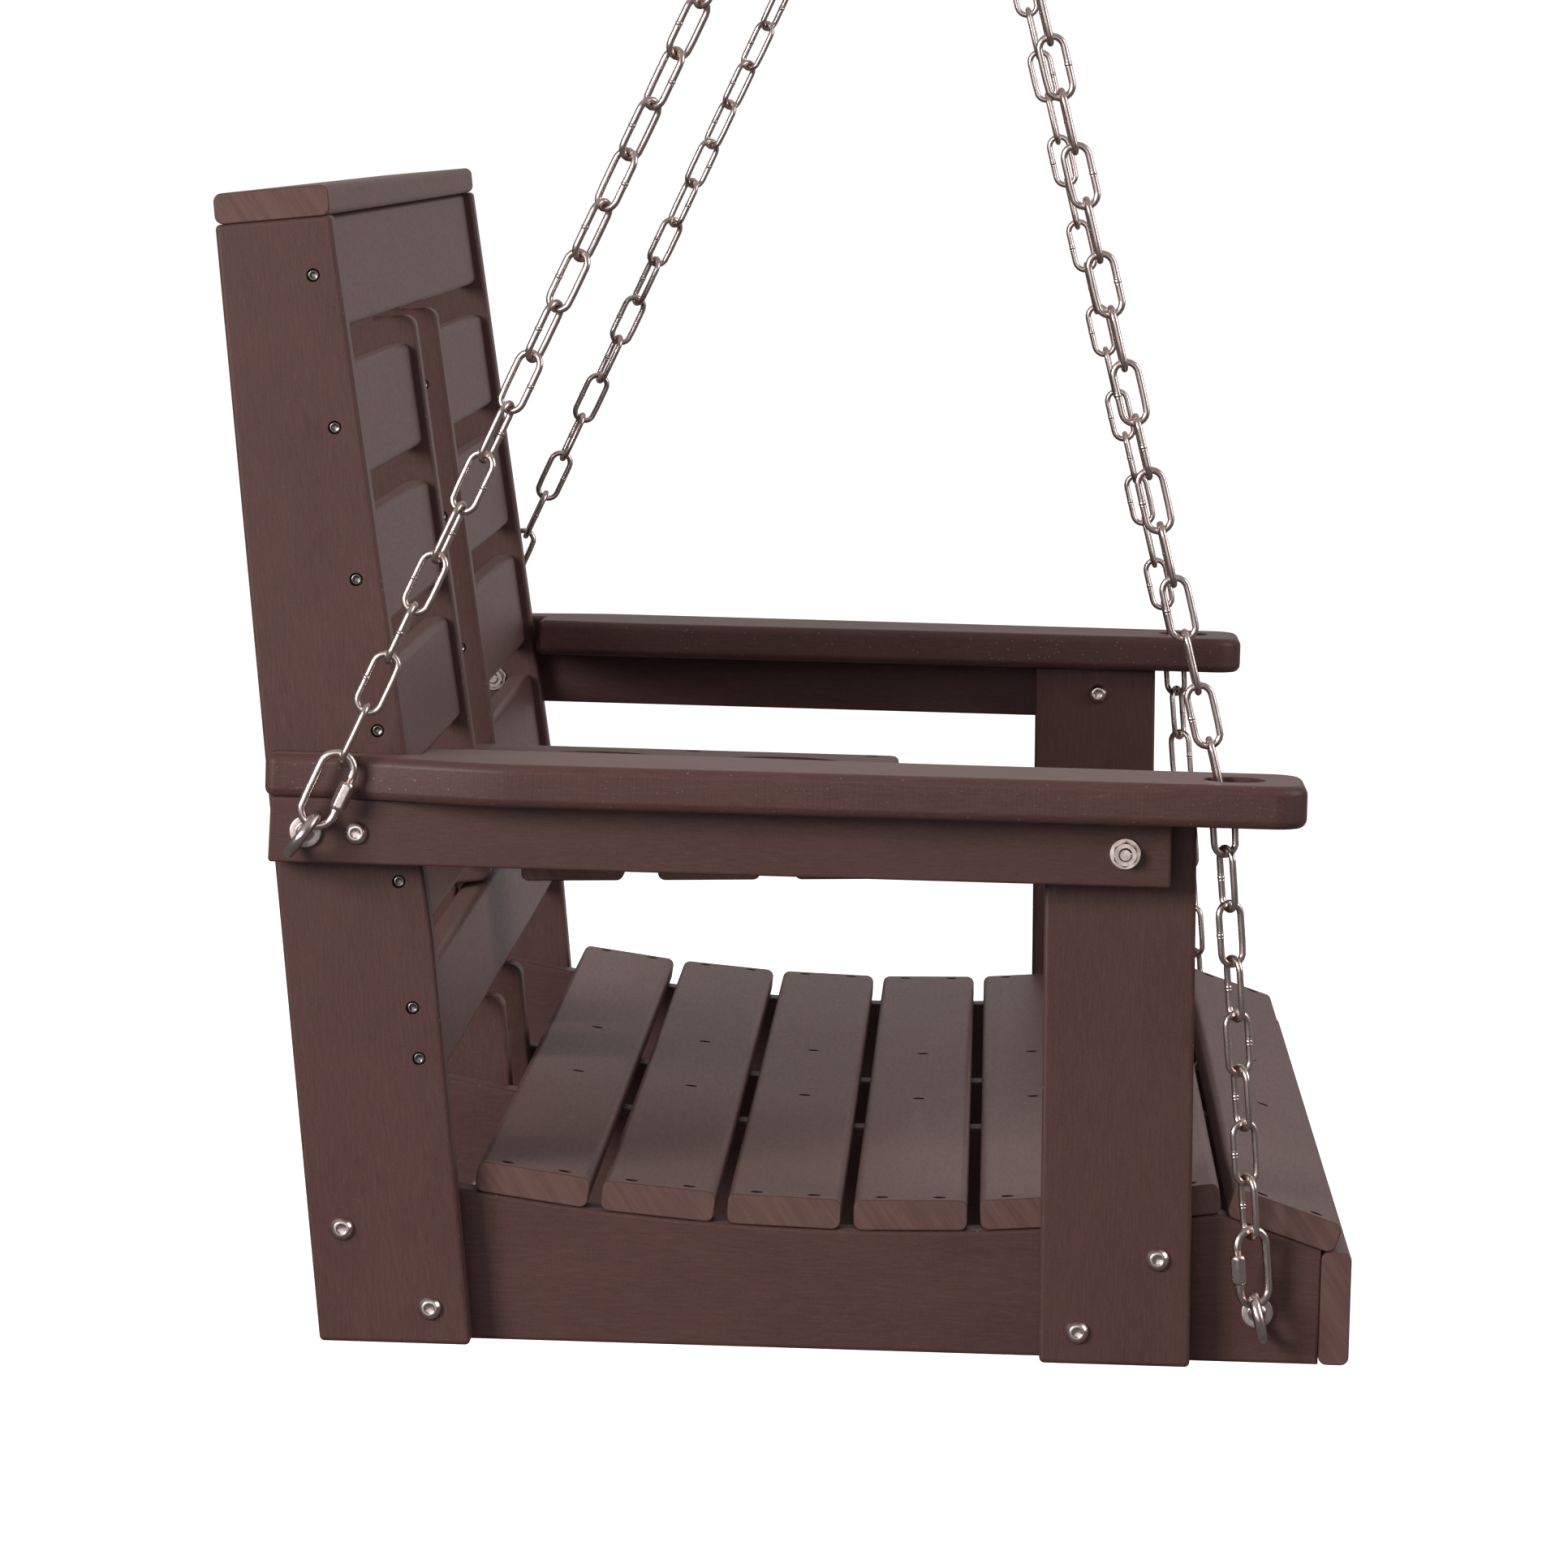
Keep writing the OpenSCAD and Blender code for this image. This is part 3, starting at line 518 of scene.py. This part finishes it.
def softened(node, axis, radius, rim):
    """A CAD board as a bmesh whose edges round into its two faces across axis, by radius, and whose
    holes have rims rounded by rim. The walls of its counterbores take the second material, which
    paints shade on them."""
    bm = merged(node)
    bmesh.ops.dissolve_limit(bm, angle_limit=FLAT, verts=bm.verts, edges=bm.edges)
    # the smallest facets, the counterbore walls, take the second material: painted shade
    for face in bm.faces:
        face.material_index = 1 if face.calc_area() < BORE_FACET else 0
    low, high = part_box(node)
    first, second = (a for a in range(3) if a != axis)
    for side, face in ((-1, low[axis]), (1, high[axis])):
        cut, away = Vector(), Vector()
        cut[axis] = face - side * radius
        away[axis] = side
        bmesh.ops.bisect_plane(bm, geom=bm.verts[:] + bm.edges[:] + bm.faces[:], dist=ON_PLANE,
                               plane_co=cut, plane_no=away, clear_outer=True)
        bmesh.ops.dissolve_degenerate(bm, edges=[e for e in bm.edges if e.is_boundary], dist=2 * JOIN)
        loops = open_loops(bm)
        outlines = [[Vector((v.co[first], v.co[second])) for v in loop] for loop in loops]
        outer = max(range(len(loops)), key=lambda i: abs(signed_area(outlines[i])))
        caps = []
        for i, (ring, points) in enumerate(zip(loops, outlines)):
            if (signed_area(points) > 0) != (i == outer):
                ring, points = ring[::-1], points[::-1]
            moves = mitres(points)
            bend = radius if i == outer else rim
            for inset, rise in rounding(bend, radius, SUPPORT if i == outer else 0.0):
                above = []
                for point, move in zip(points, moves):
                    place = Vector()
                    place[first], place[second] = point + move * inset
                    place[axis] = face - side * (radius - rise)
                    above.append(bm.verts.new(place))
                for j in range(len(ring)):
                    k = (j + 1) % len(ring)
                    bm.faces.new((ring[j], ring[k], above[k], above[j]))
                ring = above
            caps.append(ring)
        flat = [v for ring in caps for v in ring]
        for corners in tessellate_polygon(
                [[Vector((v.co[first], v.co[second], 0.0)) for v in ring] for ring in caps]):
            bm.faces.new([flat[c] for c in corners])
    return bm


def islands(node):
    """The separate solids of a CAD node, each as an array of its points."""
    bm = merged(node)
    found, seen = [], set()
    for start in bm.verts:
        if start in seen:
            continue
        seen.add(start)
        stack, solid = [start], []
        while stack:
            vert = stack.pop()
            solid.append(tuple(vert.co))
            for edge in vert.link_edges:
                other = edge.other_vert(vert)
                if other not in seen:
                    seen.add(other)
                    stack.append(other)
        found.append(np.array(solid))
    bm.free()
    return found


def main_axes(points):
    """Middle of a solid's box along its own axes, those axes from longest to shortest, its sizes."""
    centre = points.mean(0)
    _, directions = np.linalg.eigh(np.cov((points - centre).T))
    spans = (points - centre) @ directions
    size = spans.max(0) - spans.min(0)
    order = np.argsort(-size)
    middle = centre + directions @ ((spans.max(0) + spans.min(0)) / 2)
    return Vector(middle), [Vector(directions[:, i]) for i in order], size[order]


def frame_along(at, direction, side=None):
    """A matrix at a place whose Z axis points along direction, and X towards side."""
    z = Vector(direction).normalized()
    x = Vector(side) if side is not None else z.orthogonal()
    x = (x - z * x.dot(z)).normalized()
    return Matrix.Translation(at) @ Matrix((x, z.cross(x), z)).transposed().to_4x4()


def radius_at(turn, radius, sides, limit):
    """Radius of a ring: a circle, or a polygon of that corner radius cut back to limit."""
    if sides:
        part = 2 * math.pi / sides
        radius *= math.cos(part / 2) / math.cos(turn % part - part / 2)
    return min(radius, limit) if limit else radius


def lathe(bm, place, rings, segments, material=0):
    """A turned solid in mm along place's Z axis. A ring is (z, radius, sides=0, limit=0)."""
    below = None
    for z, radius, *rest in rings:
        sides, limit = (rest + [0, 0])[:2]
        if radius == 0:
            ring = [bm.verts.new(place @ Vector((0, 0, z * MM)))]
        else:
            ring = []
            for i in range(segments):
                turn = 2 * math.pi * i / segments
                r = radius_at(turn, radius, sides, limit) * MM
                spot = Vector((r * math.cos(turn), r * math.sin(turn), z * MM))
                ring.append(bm.verts.new(place @ spot))
        if below:
            for i in range(segments):
                j = (i + 1) % segments
                corners = [below[i % len(below)], below[j % len(below)],
                           ring[j % len(ring)], ring[i % len(ring)]]
                face = bm.faces.new(list(dict.fromkeys(corners)))
                face.material_index = material
        below = ring


def sweep(bm, place, path, radii, segments, closed=True):
    """A round wire along a path of (x, z) points in place's XZ plane, with a radius at each point."""
    rings = []
    count = len(path)
    for i, (point, radius) in enumerate(zip(path, radii)):
        back = path[i - 1] if closed or i else point
        ahead = path[(i + 1) % count] if closed or i < count - 1 else point
        run = (ahead - back).normalized()
        out = Vector((run.y, -run.x))
        ring = []
        for j in range(segments):
            turn = 2 * math.pi * j / segments
            spot = point + out * radius * math.cos(turn)
            ring.append(bm.verts.new(place @ Vector((spot.x, radius * math.sin(turn), spot.y))))
        rings.append(ring)
    pairs = list(zip(rings, rings[1:] + rings[:1])) if closed else list(zip(rings, rings[1:]))
    for a, b in pairs:
        for j in range(segments):
            k = (j + 1) % segments
            bm.faces.new((a[j], a[k], b[k], b[j]))
    if not closed:
        for ring in (rings[0], rings[-1]):
            bm.faces.new(ring)


WELD_HALF = 2.6 * MM
WELD_STEPS = 14
WELD_SWELL = 0.13
WELD_GROOVES = (-0.42, 0.38)
GROOVE_WIDTH = 0.13
GROOVE_DEPTH = 0.12


def weld():
    """A butt weld: (distance along the wire from its middle, share by which the wire swells)."""
    marks = []
    for i in range(WELD_STEPS + 1):
        t = 2 * i / WELD_STEPS - 1
        grooves = sum(math.exp(-((t - c) / GROOVE_WIDTH) ** 2) for c in WELD_GROOVES)
        marks.append((t * WELD_HALF, WELD_SWELL * (1 - t * t) ** 2 - GROOVE_DEPTH * grooves))
    return marks


def oblong(length, width, wire, side, arc_steps=10):
    """Path and radii of an oblong link's wire, from the link's outer length and width. side gives
    the marks of its +X side, as weld() does."""
    bend = (width - wire) / 2
    straight = (length - width) / 2
    path, radii = [], []

    def put(x, z, swell=0.0):
        path.append(Vector((x, z)))
        radii.append(wire / 2 * (1 + swell))

    for i in range(arc_steps + 1):
        turn = math.pi * i / arc_steps
        put(bend * math.cos(turn), straight + bend * math.sin(turn))
    for i in range(1, 4):
        put(-bend, straight * (1 - i / 2))
    for i in range(1, arc_steps + 1):
        turn = math.pi * (1 + i / arc_steps)
        put(bend * math.cos(turn), -straight + bend * math.sin(turn))
    for offset, swell in side:
        put(bend, offset, swell)
    return path, radii


# ---- boards --------------------------------------------------------------------

BOARD_ROUND = 2.4 * MM
RAIL_ROUND = 2.2 * MM
UNDER_ARM_ROUND = 1.4 * MM
ARM_ROUND = 5.5 * MM
TOP_ROUND = 3.4 * MM
ARM_RIM = 1.0 * MM
CUP_RIM = 2.0 * MM
SAWN_EDGE = 0.8 * MM


# the axis across a board's two faces, the rounding of their edges, the rim of its holes, its material
BOARDS = {
    "rear_leg": (0, BOARD_ROUND, RIM, BOARD_LEG),
    "back_divider": (0, BOARD_ROUND, RIM, BOARD_LEG),
    "front_post": (0, BOARD_ROUND, RIM, BOARD_Z),
    "side_rail": (0, RAIL_ROUND, RIM, BOARD_Y),
    "middle_rail": (0, RAIL_ROUND, RIM, BOARD_Y),
    "console_side": (0, RAIL_ROUND, RIM, BOARD_Y),
    "arm_rail": (0, UNDER_ARM_ROUND, RIM, BOARD_Y),
    "arm": (2, ARM_ROUND, ARM_RIM, BOARD_ARM),
    "console_top": (2, TOP_ROUND, CUP_RIM, BOARD_Y),
}
for lengthwise in ("seat_slat", "console_slat", "back_slat", "back_slat_top", "back_slat_bottom",
                   "cap_rail", "front_apron"):
    BOARDS[lengthwise] = (0, SAWN_EDGE, RIM, BOARD_X)


def kind_of(node):
    """A node's name without its side and its number."""
    return "_".join(word for word in node.split("_") if word not in SIDES and not word.isdigit())


def add_boards():
    """Every board as a softened copy of its CAD node."""
    for node in sorted(frame["nodes"]):
        if kind_of(node) in BOARDS:
            axis, radius, rim, material = BOARDS[kind_of(node)]
            board = softened(node, axis, radius, rim)
            # each board's second material paints shade onto the walls of its counterbores
            finish_piece(node + "_board", board, [material, BORE_PAINTED_SHADE], node)


# ---- chains --------------------------------------------------------------------


CHAIN_SEED = 7
WELD_THIS_WAY = 0.7  # the share of links whose weld is on the same side


def add_chains():
    """Every link as a round wire with a butt weld, on one side or the other at random."""
    rng = np.random.default_rng(CHAIN_SEED)
    for side in SIDES:
        for which in ("rear", "front"):
            node = f"chain_{which}_{side}"
            bm = bmesh.new()
            for points in islands(node):
                middle, axes, size = main_axes(points)
                side_axis = axes[1] * (1 if rng.random() < WELD_THIS_WAY else -1)
                place = frame_along(middle, axes[0], side_axis)
                sweep(bm, place, *oblong(*size, weld()), segments=CHAIN_WIRE)
            finish_piece(node + "_links", bm, [CHAIN], node)


# ---- hardware ------------------------------------------------------------------

ACROSS = Vector((1, 0, 0))
UPRIGHT = Vector((0, 0, 1))


HEAD_SHARE = 0.9  # points this near to the widest one belong to the head


def wide_end(points, axis=None):
    """Place at the wide end of a turned solid, Z outwards along its axis, and its length in mm."""
    middle, axes, _ = main_axes(points)
    axis = axes[0] if axis is None else axis
    offsets = points - np.array(middle)
    along = offsets @ np.array(axis)
    spread = np.linalg.norm(offsets - np.outer(along, axis), axis=1)
    if along[spread > HEAD_SHARE * spread.max()].mean() < (along.max() + along.min()) / 2:
        axis, along = -axis, -along
    side = UPRIGHT if abs(axis.z) < 0.5 else ACROSS
    return frame_along(middle + axis * along.max(), axis, side), (along.max() - along.min()) / MM


def thread(low, high, radius, pitch, depth):
    """Rings of a screw thread from low to high."""
    count = 2 * int((high - low) / pitch)
    return [(low + i * pitch / 2, radius - depth * (i % 2)) for i in range(count)]


# segments round a turned piece, and round a bent wire
FINE = 48
ROUND = 36
SMALL = 24
THICK_WIRE = 20
LINK_WIRE = 18
CHAIN_WIRE = 14

# M8 fixings, in mm
SHANK = 4.0
SHANK_TIP = 3.1
SHANK_CHAMFER = 3.9
THREAD_PITCH = 1.25
THREAD_DEPTH = 0.5
NUT_BORE = 4.05
NUT_CORNER = 7.5
NUT_CORNER_CUT = 7.45
NUT_FACE = 6.45
SOCKET = 2.9
BOLT_THREADED = 14
EYE_THREADED = 18


def threaded_tip(length, threaded):
    """Rings of an M8 shank from its tip at -length to the end of its thread."""
    return ([(-length, 0), (-length, SHANK_TIP), (0.8 - length, SHANK_CHAMFER)]
            + thread(1 - length, threaded - length, SHANK, THREAD_PITCH, THREAD_DEPTH)
            + [(threaded - length, SHANK)])


def button_bolt(length):
    """Domed head with a hexagon socket, and a shank threaded at its tip."""
    return threaded_tip(length, BOLT_THREADED) + [
        (-4.4, SHANK), (-4.4, 6.6), (-4.1, 6.95), (-3.5, 7.0), (-2.8, 6.8), (-2.0, 6.35), (-1.3, 5.75),
        (-0.7, 5.15), (-0.2, 4.65), (0, 4.3), (0, 3.3), (-0.05, 3.1), (-0.3, SOCKET, 6),
        (-2.2, SOCKET, 6), (-2.7, 0)]


def deck_screw(length):
    """Pan head with a square recess, over a coarse thread with a point."""
    return ([(-length, 0), (-length + 5, 1.9)]
            + thread(-length + 5, -length + 25, 2.2, 1.8, 0.5)
            + [(-length + 25, 1.9), (-2.6, 1.9), (-2.6, 3.2), (-2.3, 3.55), (-1.0, 3.6), (-0.35, 3.35),
               (0, 2.7), (0, 2.25), (-0.25, 2.05, 4), (-1.7, 1.85, 4), (-2.0, 0)])


def washer(length):
    return [(-length, NUT_BORE), (-length, 8.8), (0.3 - length, 9.15), (-0.3, 9.2), (0, 8.85),
            (0, NUT_BORE), (-length, NUT_BORE)]


def hex_nut(length):
    return [(-length, NUT_BORE), (-length, NUT_CORNER, 6, NUT_FACE),
            (0.6 - length, NUT_CORNER, 6, NUT_CORNER_CUT), (-0.6, NUT_CORNER, 6, NUT_CORNER_CUT),
            (0, NUT_CORNER, 6, NUT_FACE), (0, 4.7), (-0.5, NUT_BORE), (-length, NUT_BORE)]


def nut_on_washer(length):
    return [(-length, NUT_BORE), (-length, NUT_CORNER, 6, NUT_FACE),
            (0.6 - length, NUT_CORNER, 6, NUT_CORNER_CUT), (-2.0, NUT_CORNER, 6, NUT_CORNER_CUT),
            (-1.6, NUT_CORNER, 6, 6.9), (-1.6, 8.9), (-1.3, 9.2), (-0.3, 9.2), (0, 8.9), (0, NUT_BORE),
            (-length, NUT_BORE)]


def link_sleeve(length):
    """Hexagon sleeve nut of a quick link, turned down to round shoulders at both ends."""
    return [(-length, 2.65), (-length, 3.5), (0.7 - length, 4.15), (1.5 - length, 4.9, 6, 4.3),
            (2.2 - length, 4.9, 6, 4.85), (-2.2, 4.9, 6, 4.85), (-1.5, 4.9, 6, 4.3), (-0.7, 4.15),
            (0, 3.5), (0, 2.65), (-length, 2.65)]


def add_turned(node, shape, material, axis=None, spin=True, segments=ROUND):
    """Every solid of a CAD node as a turned piece, its rings given by shape for its length in mm."""
    rng = np.random.default_rng(len(node))
    bm = bmesh.new()
    for points in islands(node):
        place, length = wide_end(points, axis)
        turn = rng.random() * 2 * math.pi if spin else 0.0
        lathe(bm, place @ Matrix.Rotation(turn, 4, "Z"), shape(length), segments)
    bmesh.ops.remove_doubles(bm, verts=bm.verts, dist=JOIN / 4)
    finish_piece(node + "_turned", bm, [material], node)


def add_fixings():
    for node in ("frame_bolts", "console_pivot_bolts"):
        add_turned(node, button_bolt, HARDWARE, ACROSS)
    for node in ("back_screws", "seat_screws", "arm_screws", "console_screws"):
        # the screw heads' steel is painted darker as the shade in their counterbores
        add_turned(node, deck_screw, SCREW_PAINTED_SHADE, segments=SMALL)
    add_turned("frame_washers", washer, HARDWARE, ACROSS)
    add_turned("frame_nuts", hex_nut, HARDWARE, ACROSS, spin=False)
    add_turned("eye_bolt_nuts", nut_on_washer, HARDWARE, ACROSS, spin=False)


MARK_ROOM = 1.3  # plain points keep this many times the marks' reach from their middle
CIRCLE_STEPS = 64
EYE_STEPS = 56


def circle_path(radius, steps, marks=()):
    """Points of a circle in a plane, and the swell of its wire at each. marks, as weld() gives them,
    take the place of its start."""
    turns = [2 * math.pi * i / steps for i in range(steps)]
    swells = [0.0] * steps
    if marks:
        reach = marks[-1][0] / radius * MARK_ROOM
        turns = [t for t in turns if reach < t < 2 * math.pi - reach]
        swells = [m[1] for m in marks] + [0.0] * len(turns)
        turns = [m[0] / radius for m in marks] + turns
    return [Vector((radius * math.cos(t), radius * math.sin(t))) for t in turns], swells


QUICK_ARC = 14
QUICK_COLLAR = 0.28  # share by which the wire swells at its collar
QUICK_THREAD = 0.13  # share by which it shrinks in its thread
QUICK_THREAD_STEP = 0.4 * MM
QUICK_THREAD_MARKS = 8


def add_quick_links():
    """Oblong links with a threaded end and a collar under their sleeve nuts."""
    sleeves = islands("quick_link_nuts")
    links, nuts = bmesh.new(), bmesh.new()
    for points in islands("quick_links"):
        middle, axes, size = main_axes(points)
        up = axes[0] * (1 if axes[0].z > 0 else -1)
        sleeve = min(sleeves, key=lambda p: (Vector(p.mean(0)) - middle).length)
        at = Vector((sleeve.min(0) + sleeve.max(0)) / 2)
        side = at - middle
        side -= up * side.dot(up)
        half = (max(sleeve @ np.array(up)) - min(sleeve @ np.array(up))) / 2
        marks = [(-half - 1.7 * MM, 0.0), (-half - 1.5 * MM, QUICK_COLLAR),
                 (-half - 0.3 * MM, QUICK_COLLAR), (-half - 0.1 * MM, 0.0), (half, 0.0)]
        marks += [(half + i * QUICK_THREAD_STEP, -QUICK_THREAD * (i % 2))
                  for i in range(1, QUICK_THREAD_MARKS + 1)]
        place = frame_along(middle, up, side)
        sweep(links, place, *oblong(*size, marks, QUICK_ARC), segments=LINK_WIRE)
        lathe(nuts, frame_along(at + up * half, up, side), link_sleeve(2 * half / MM), ROUND)
    bmesh.ops.remove_doubles(nuts, verts=nuts.verts, dist=JOIN / 4)
    finish_piece("quick_link_wires", links, [HARDWARE], "quick_links")
    finish_piece("quick_link_sleeves", nuts, [HARDWARE], "quick_link_nuts")


# eye bolts, in mm: the middle of the eye stands EYE_STAND off the board's face
EYE_RADIUS = 13.25
EYE_WIRE = 6.5
EYE_STAND = 17.75
EYE_REACH = EYE_STAND + EYE_RADIUS + EYE_WIRE / 2
EYE_COLLAR = [(0, 3.9), (0, 8.8), (0.35, 9.2), (1.5, 9.1), (2.6, 9.2), (3.0, 8.7), (3.05, 5.6)]
EYE_NECK = [(3.05, 5.6), (3.3, 5.0), (4.0, 4.4), (5.0, 3.9), (6.2, 3.3), (7.0, 0)]


def add_eye_bolts():
    """Forged eyes on a rough round collar, over a shank threaded at its tip."""
    bm = bmesh.new()
    for points in islands("eye_bolts"):
        outward = math.copysign(1, points[:, 0].mean())
        reach = (points[:, 0] * outward).max()
        tip = (points[:, 0] * outward).min()
        shank = points[points[:, 0] * outward < tip + 0.1 * MM]
        centre = (shank.min(0) + shank.max(0)) / 2
        face = Vector((outward * (reach - EYE_REACH * MM), centre[1], centre[2]))
        axis = ACROSS * outward
        eye = points[points[:, 0] * outward > reach - 2 * EYE_RADIUS * MM] - centre
        eye[:, 0] = 0
        widest = Vector(eye[np.linalg.norm(eye, axis=1).argmax()])
        length = (face.x * outward - tip) / MM
        place = frame_along(face, axis, widest)
        lathe(bm, place, threaded_tip(length, EYE_THREADED) + [(0, SHANK)], ROUND)
        lathe(bm, place, EYE_COLLAR, FINE, material=1)
        lathe(bm, place, EYE_NECK, ROUND)
        eye_place = place @ Matrix.Translation((0, 0, EYE_STAND * MM))
        path, swells = circle_path(EYE_RADIUS * MM, EYE_STEPS)
        sweep(bm, eye_place, path, [EYE_WIRE / 2 * MM * (1 + w) for w in swells], THICK_WIRE)
    finish_piece("eye_bolts_forged", bm, [HARDWARE, PLATED], "eye_bolts")


# ceiling hooks, in mm
HOOK_WIRE = 8.0
HOOK_RADIUS = 16.0
HOOK_START = math.radians(-220)
HOOK_BEND = math.radians(52)
BEND_STEPS = 40
LEAD_STEPS = 10
COLLAR_BELOW = 5.0
LEAD_PULL = 0.55
LEAD_RISE = 0.5
HOOK_THREAD_GAP = 6
HOOK_PITCH = 2.6
HOOK_THREAD_DEPTH = 0.9
HOOK_POINT = [(5, 3.0), (0.3, 0.6), (0, 0.1)]  # (depth under its tip, radius)
HOOK_COLLAR = [(0, 3.9), (0, 6.8), (0.4, 7.4), (2.6, 7.5), (3, 7.0), (3, 3.9)]


def hook_wire(top):
    """Path and radii of a screw hook's wire, from its open end to its threaded tip. Its bend is about
    the origin, and top is the tip's height over it, in metres."""
    radius = HOOK_RADIUS * MM
    turns = (HOOK_START + (HOOK_BEND - HOOK_START) * i / BEND_STEPS for i in range(BEND_STEPS + 1))
    path = [Vector((math.cos(t), math.sin(t))) * radius for t in turns]
    leave = path[-1]
    pull = Vector((-math.sin(HOOK_BEND), math.cos(HOOK_BEND))) * radius * LEAD_PULL
    meet = Vector((0.0, radius + COLLAR_BELOW * MM))
    for i in range(1, LEAD_STEPS + 1):
        t = i / LEAD_STEPS
        path.append(leave * (1 - t) ** 3 + (leave + pull) * 3 * t * (1 - t) ** 2
                    + (meet - Vector((0, radius * LEAD_RISE))) * 3 * t * t * (1 - t) + meet * t ** 3)
    radii = [HOOK_WIRE / 2 * MM] * len(path)
    low, high = meet.y / MM + HOOK_THREAD_GAP, top / MM - HOOK_THREAD_GAP
    for z, r in thread(low, high, HOOK_WIRE / 2, HOOK_PITCH, HOOK_THREAD_DEPTH):
        path.append(Vector((0, z * MM)))
        radii.append(r * MM)
    for depth, r in HOOK_POINT:
        path.append(Vector((0, top - depth * MM)))
        radii.append(r * MM)
    return path, radii


def add_hangers():
    """The ring that gathers each side's chains, and the ceiling hook it hangs on."""
    for side in SIDES:
        node = "hanging_ring_" + side
        middle, axes, size = main_axes(islands(node)[0])
        bm = bmesh.new()
        path, swells = circle_path((size[0] - size[2]) / 2, CIRCLE_STEPS, weld())
        radii = [size[2] / 2 * (1 + w) for w in swells]
        sweep(bm, frame_along(middle, axes[0], axes[1]), path, radii, THICK_WIRE)
        finish_piece(node + "_welded", bm, [CHAIN], node)

        node = "ceiling_hook_" + side
        low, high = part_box(node)
        centre = (low + high) / 2
        centre.z = low.z + (HOOK_RADIUS + HOOK_WIRE / 2) * MM
        place = frame_along(centre, UPRIGHT, ACROSS * math.copysign(1, centre.x))
        bm = bmesh.new()
        sweep(bm, place, *hook_wire(high.z - centre.z), segments=THICK_WIRE, closed=False)
        collar = place @ Matrix.Translation((0, 0, (HOOK_RADIUS + COLLAR_BELOW) * MM))
        lathe(bm, collar, HOOK_COLLAR, ROUND)
        finish_piece(node + "_wire", bm, [HARDWARE], node)


add_boards()
add_chains()
add_fixings()
add_quick_links()
add_eye_bolts()
add_hangers()
add_camera()
add_studio()
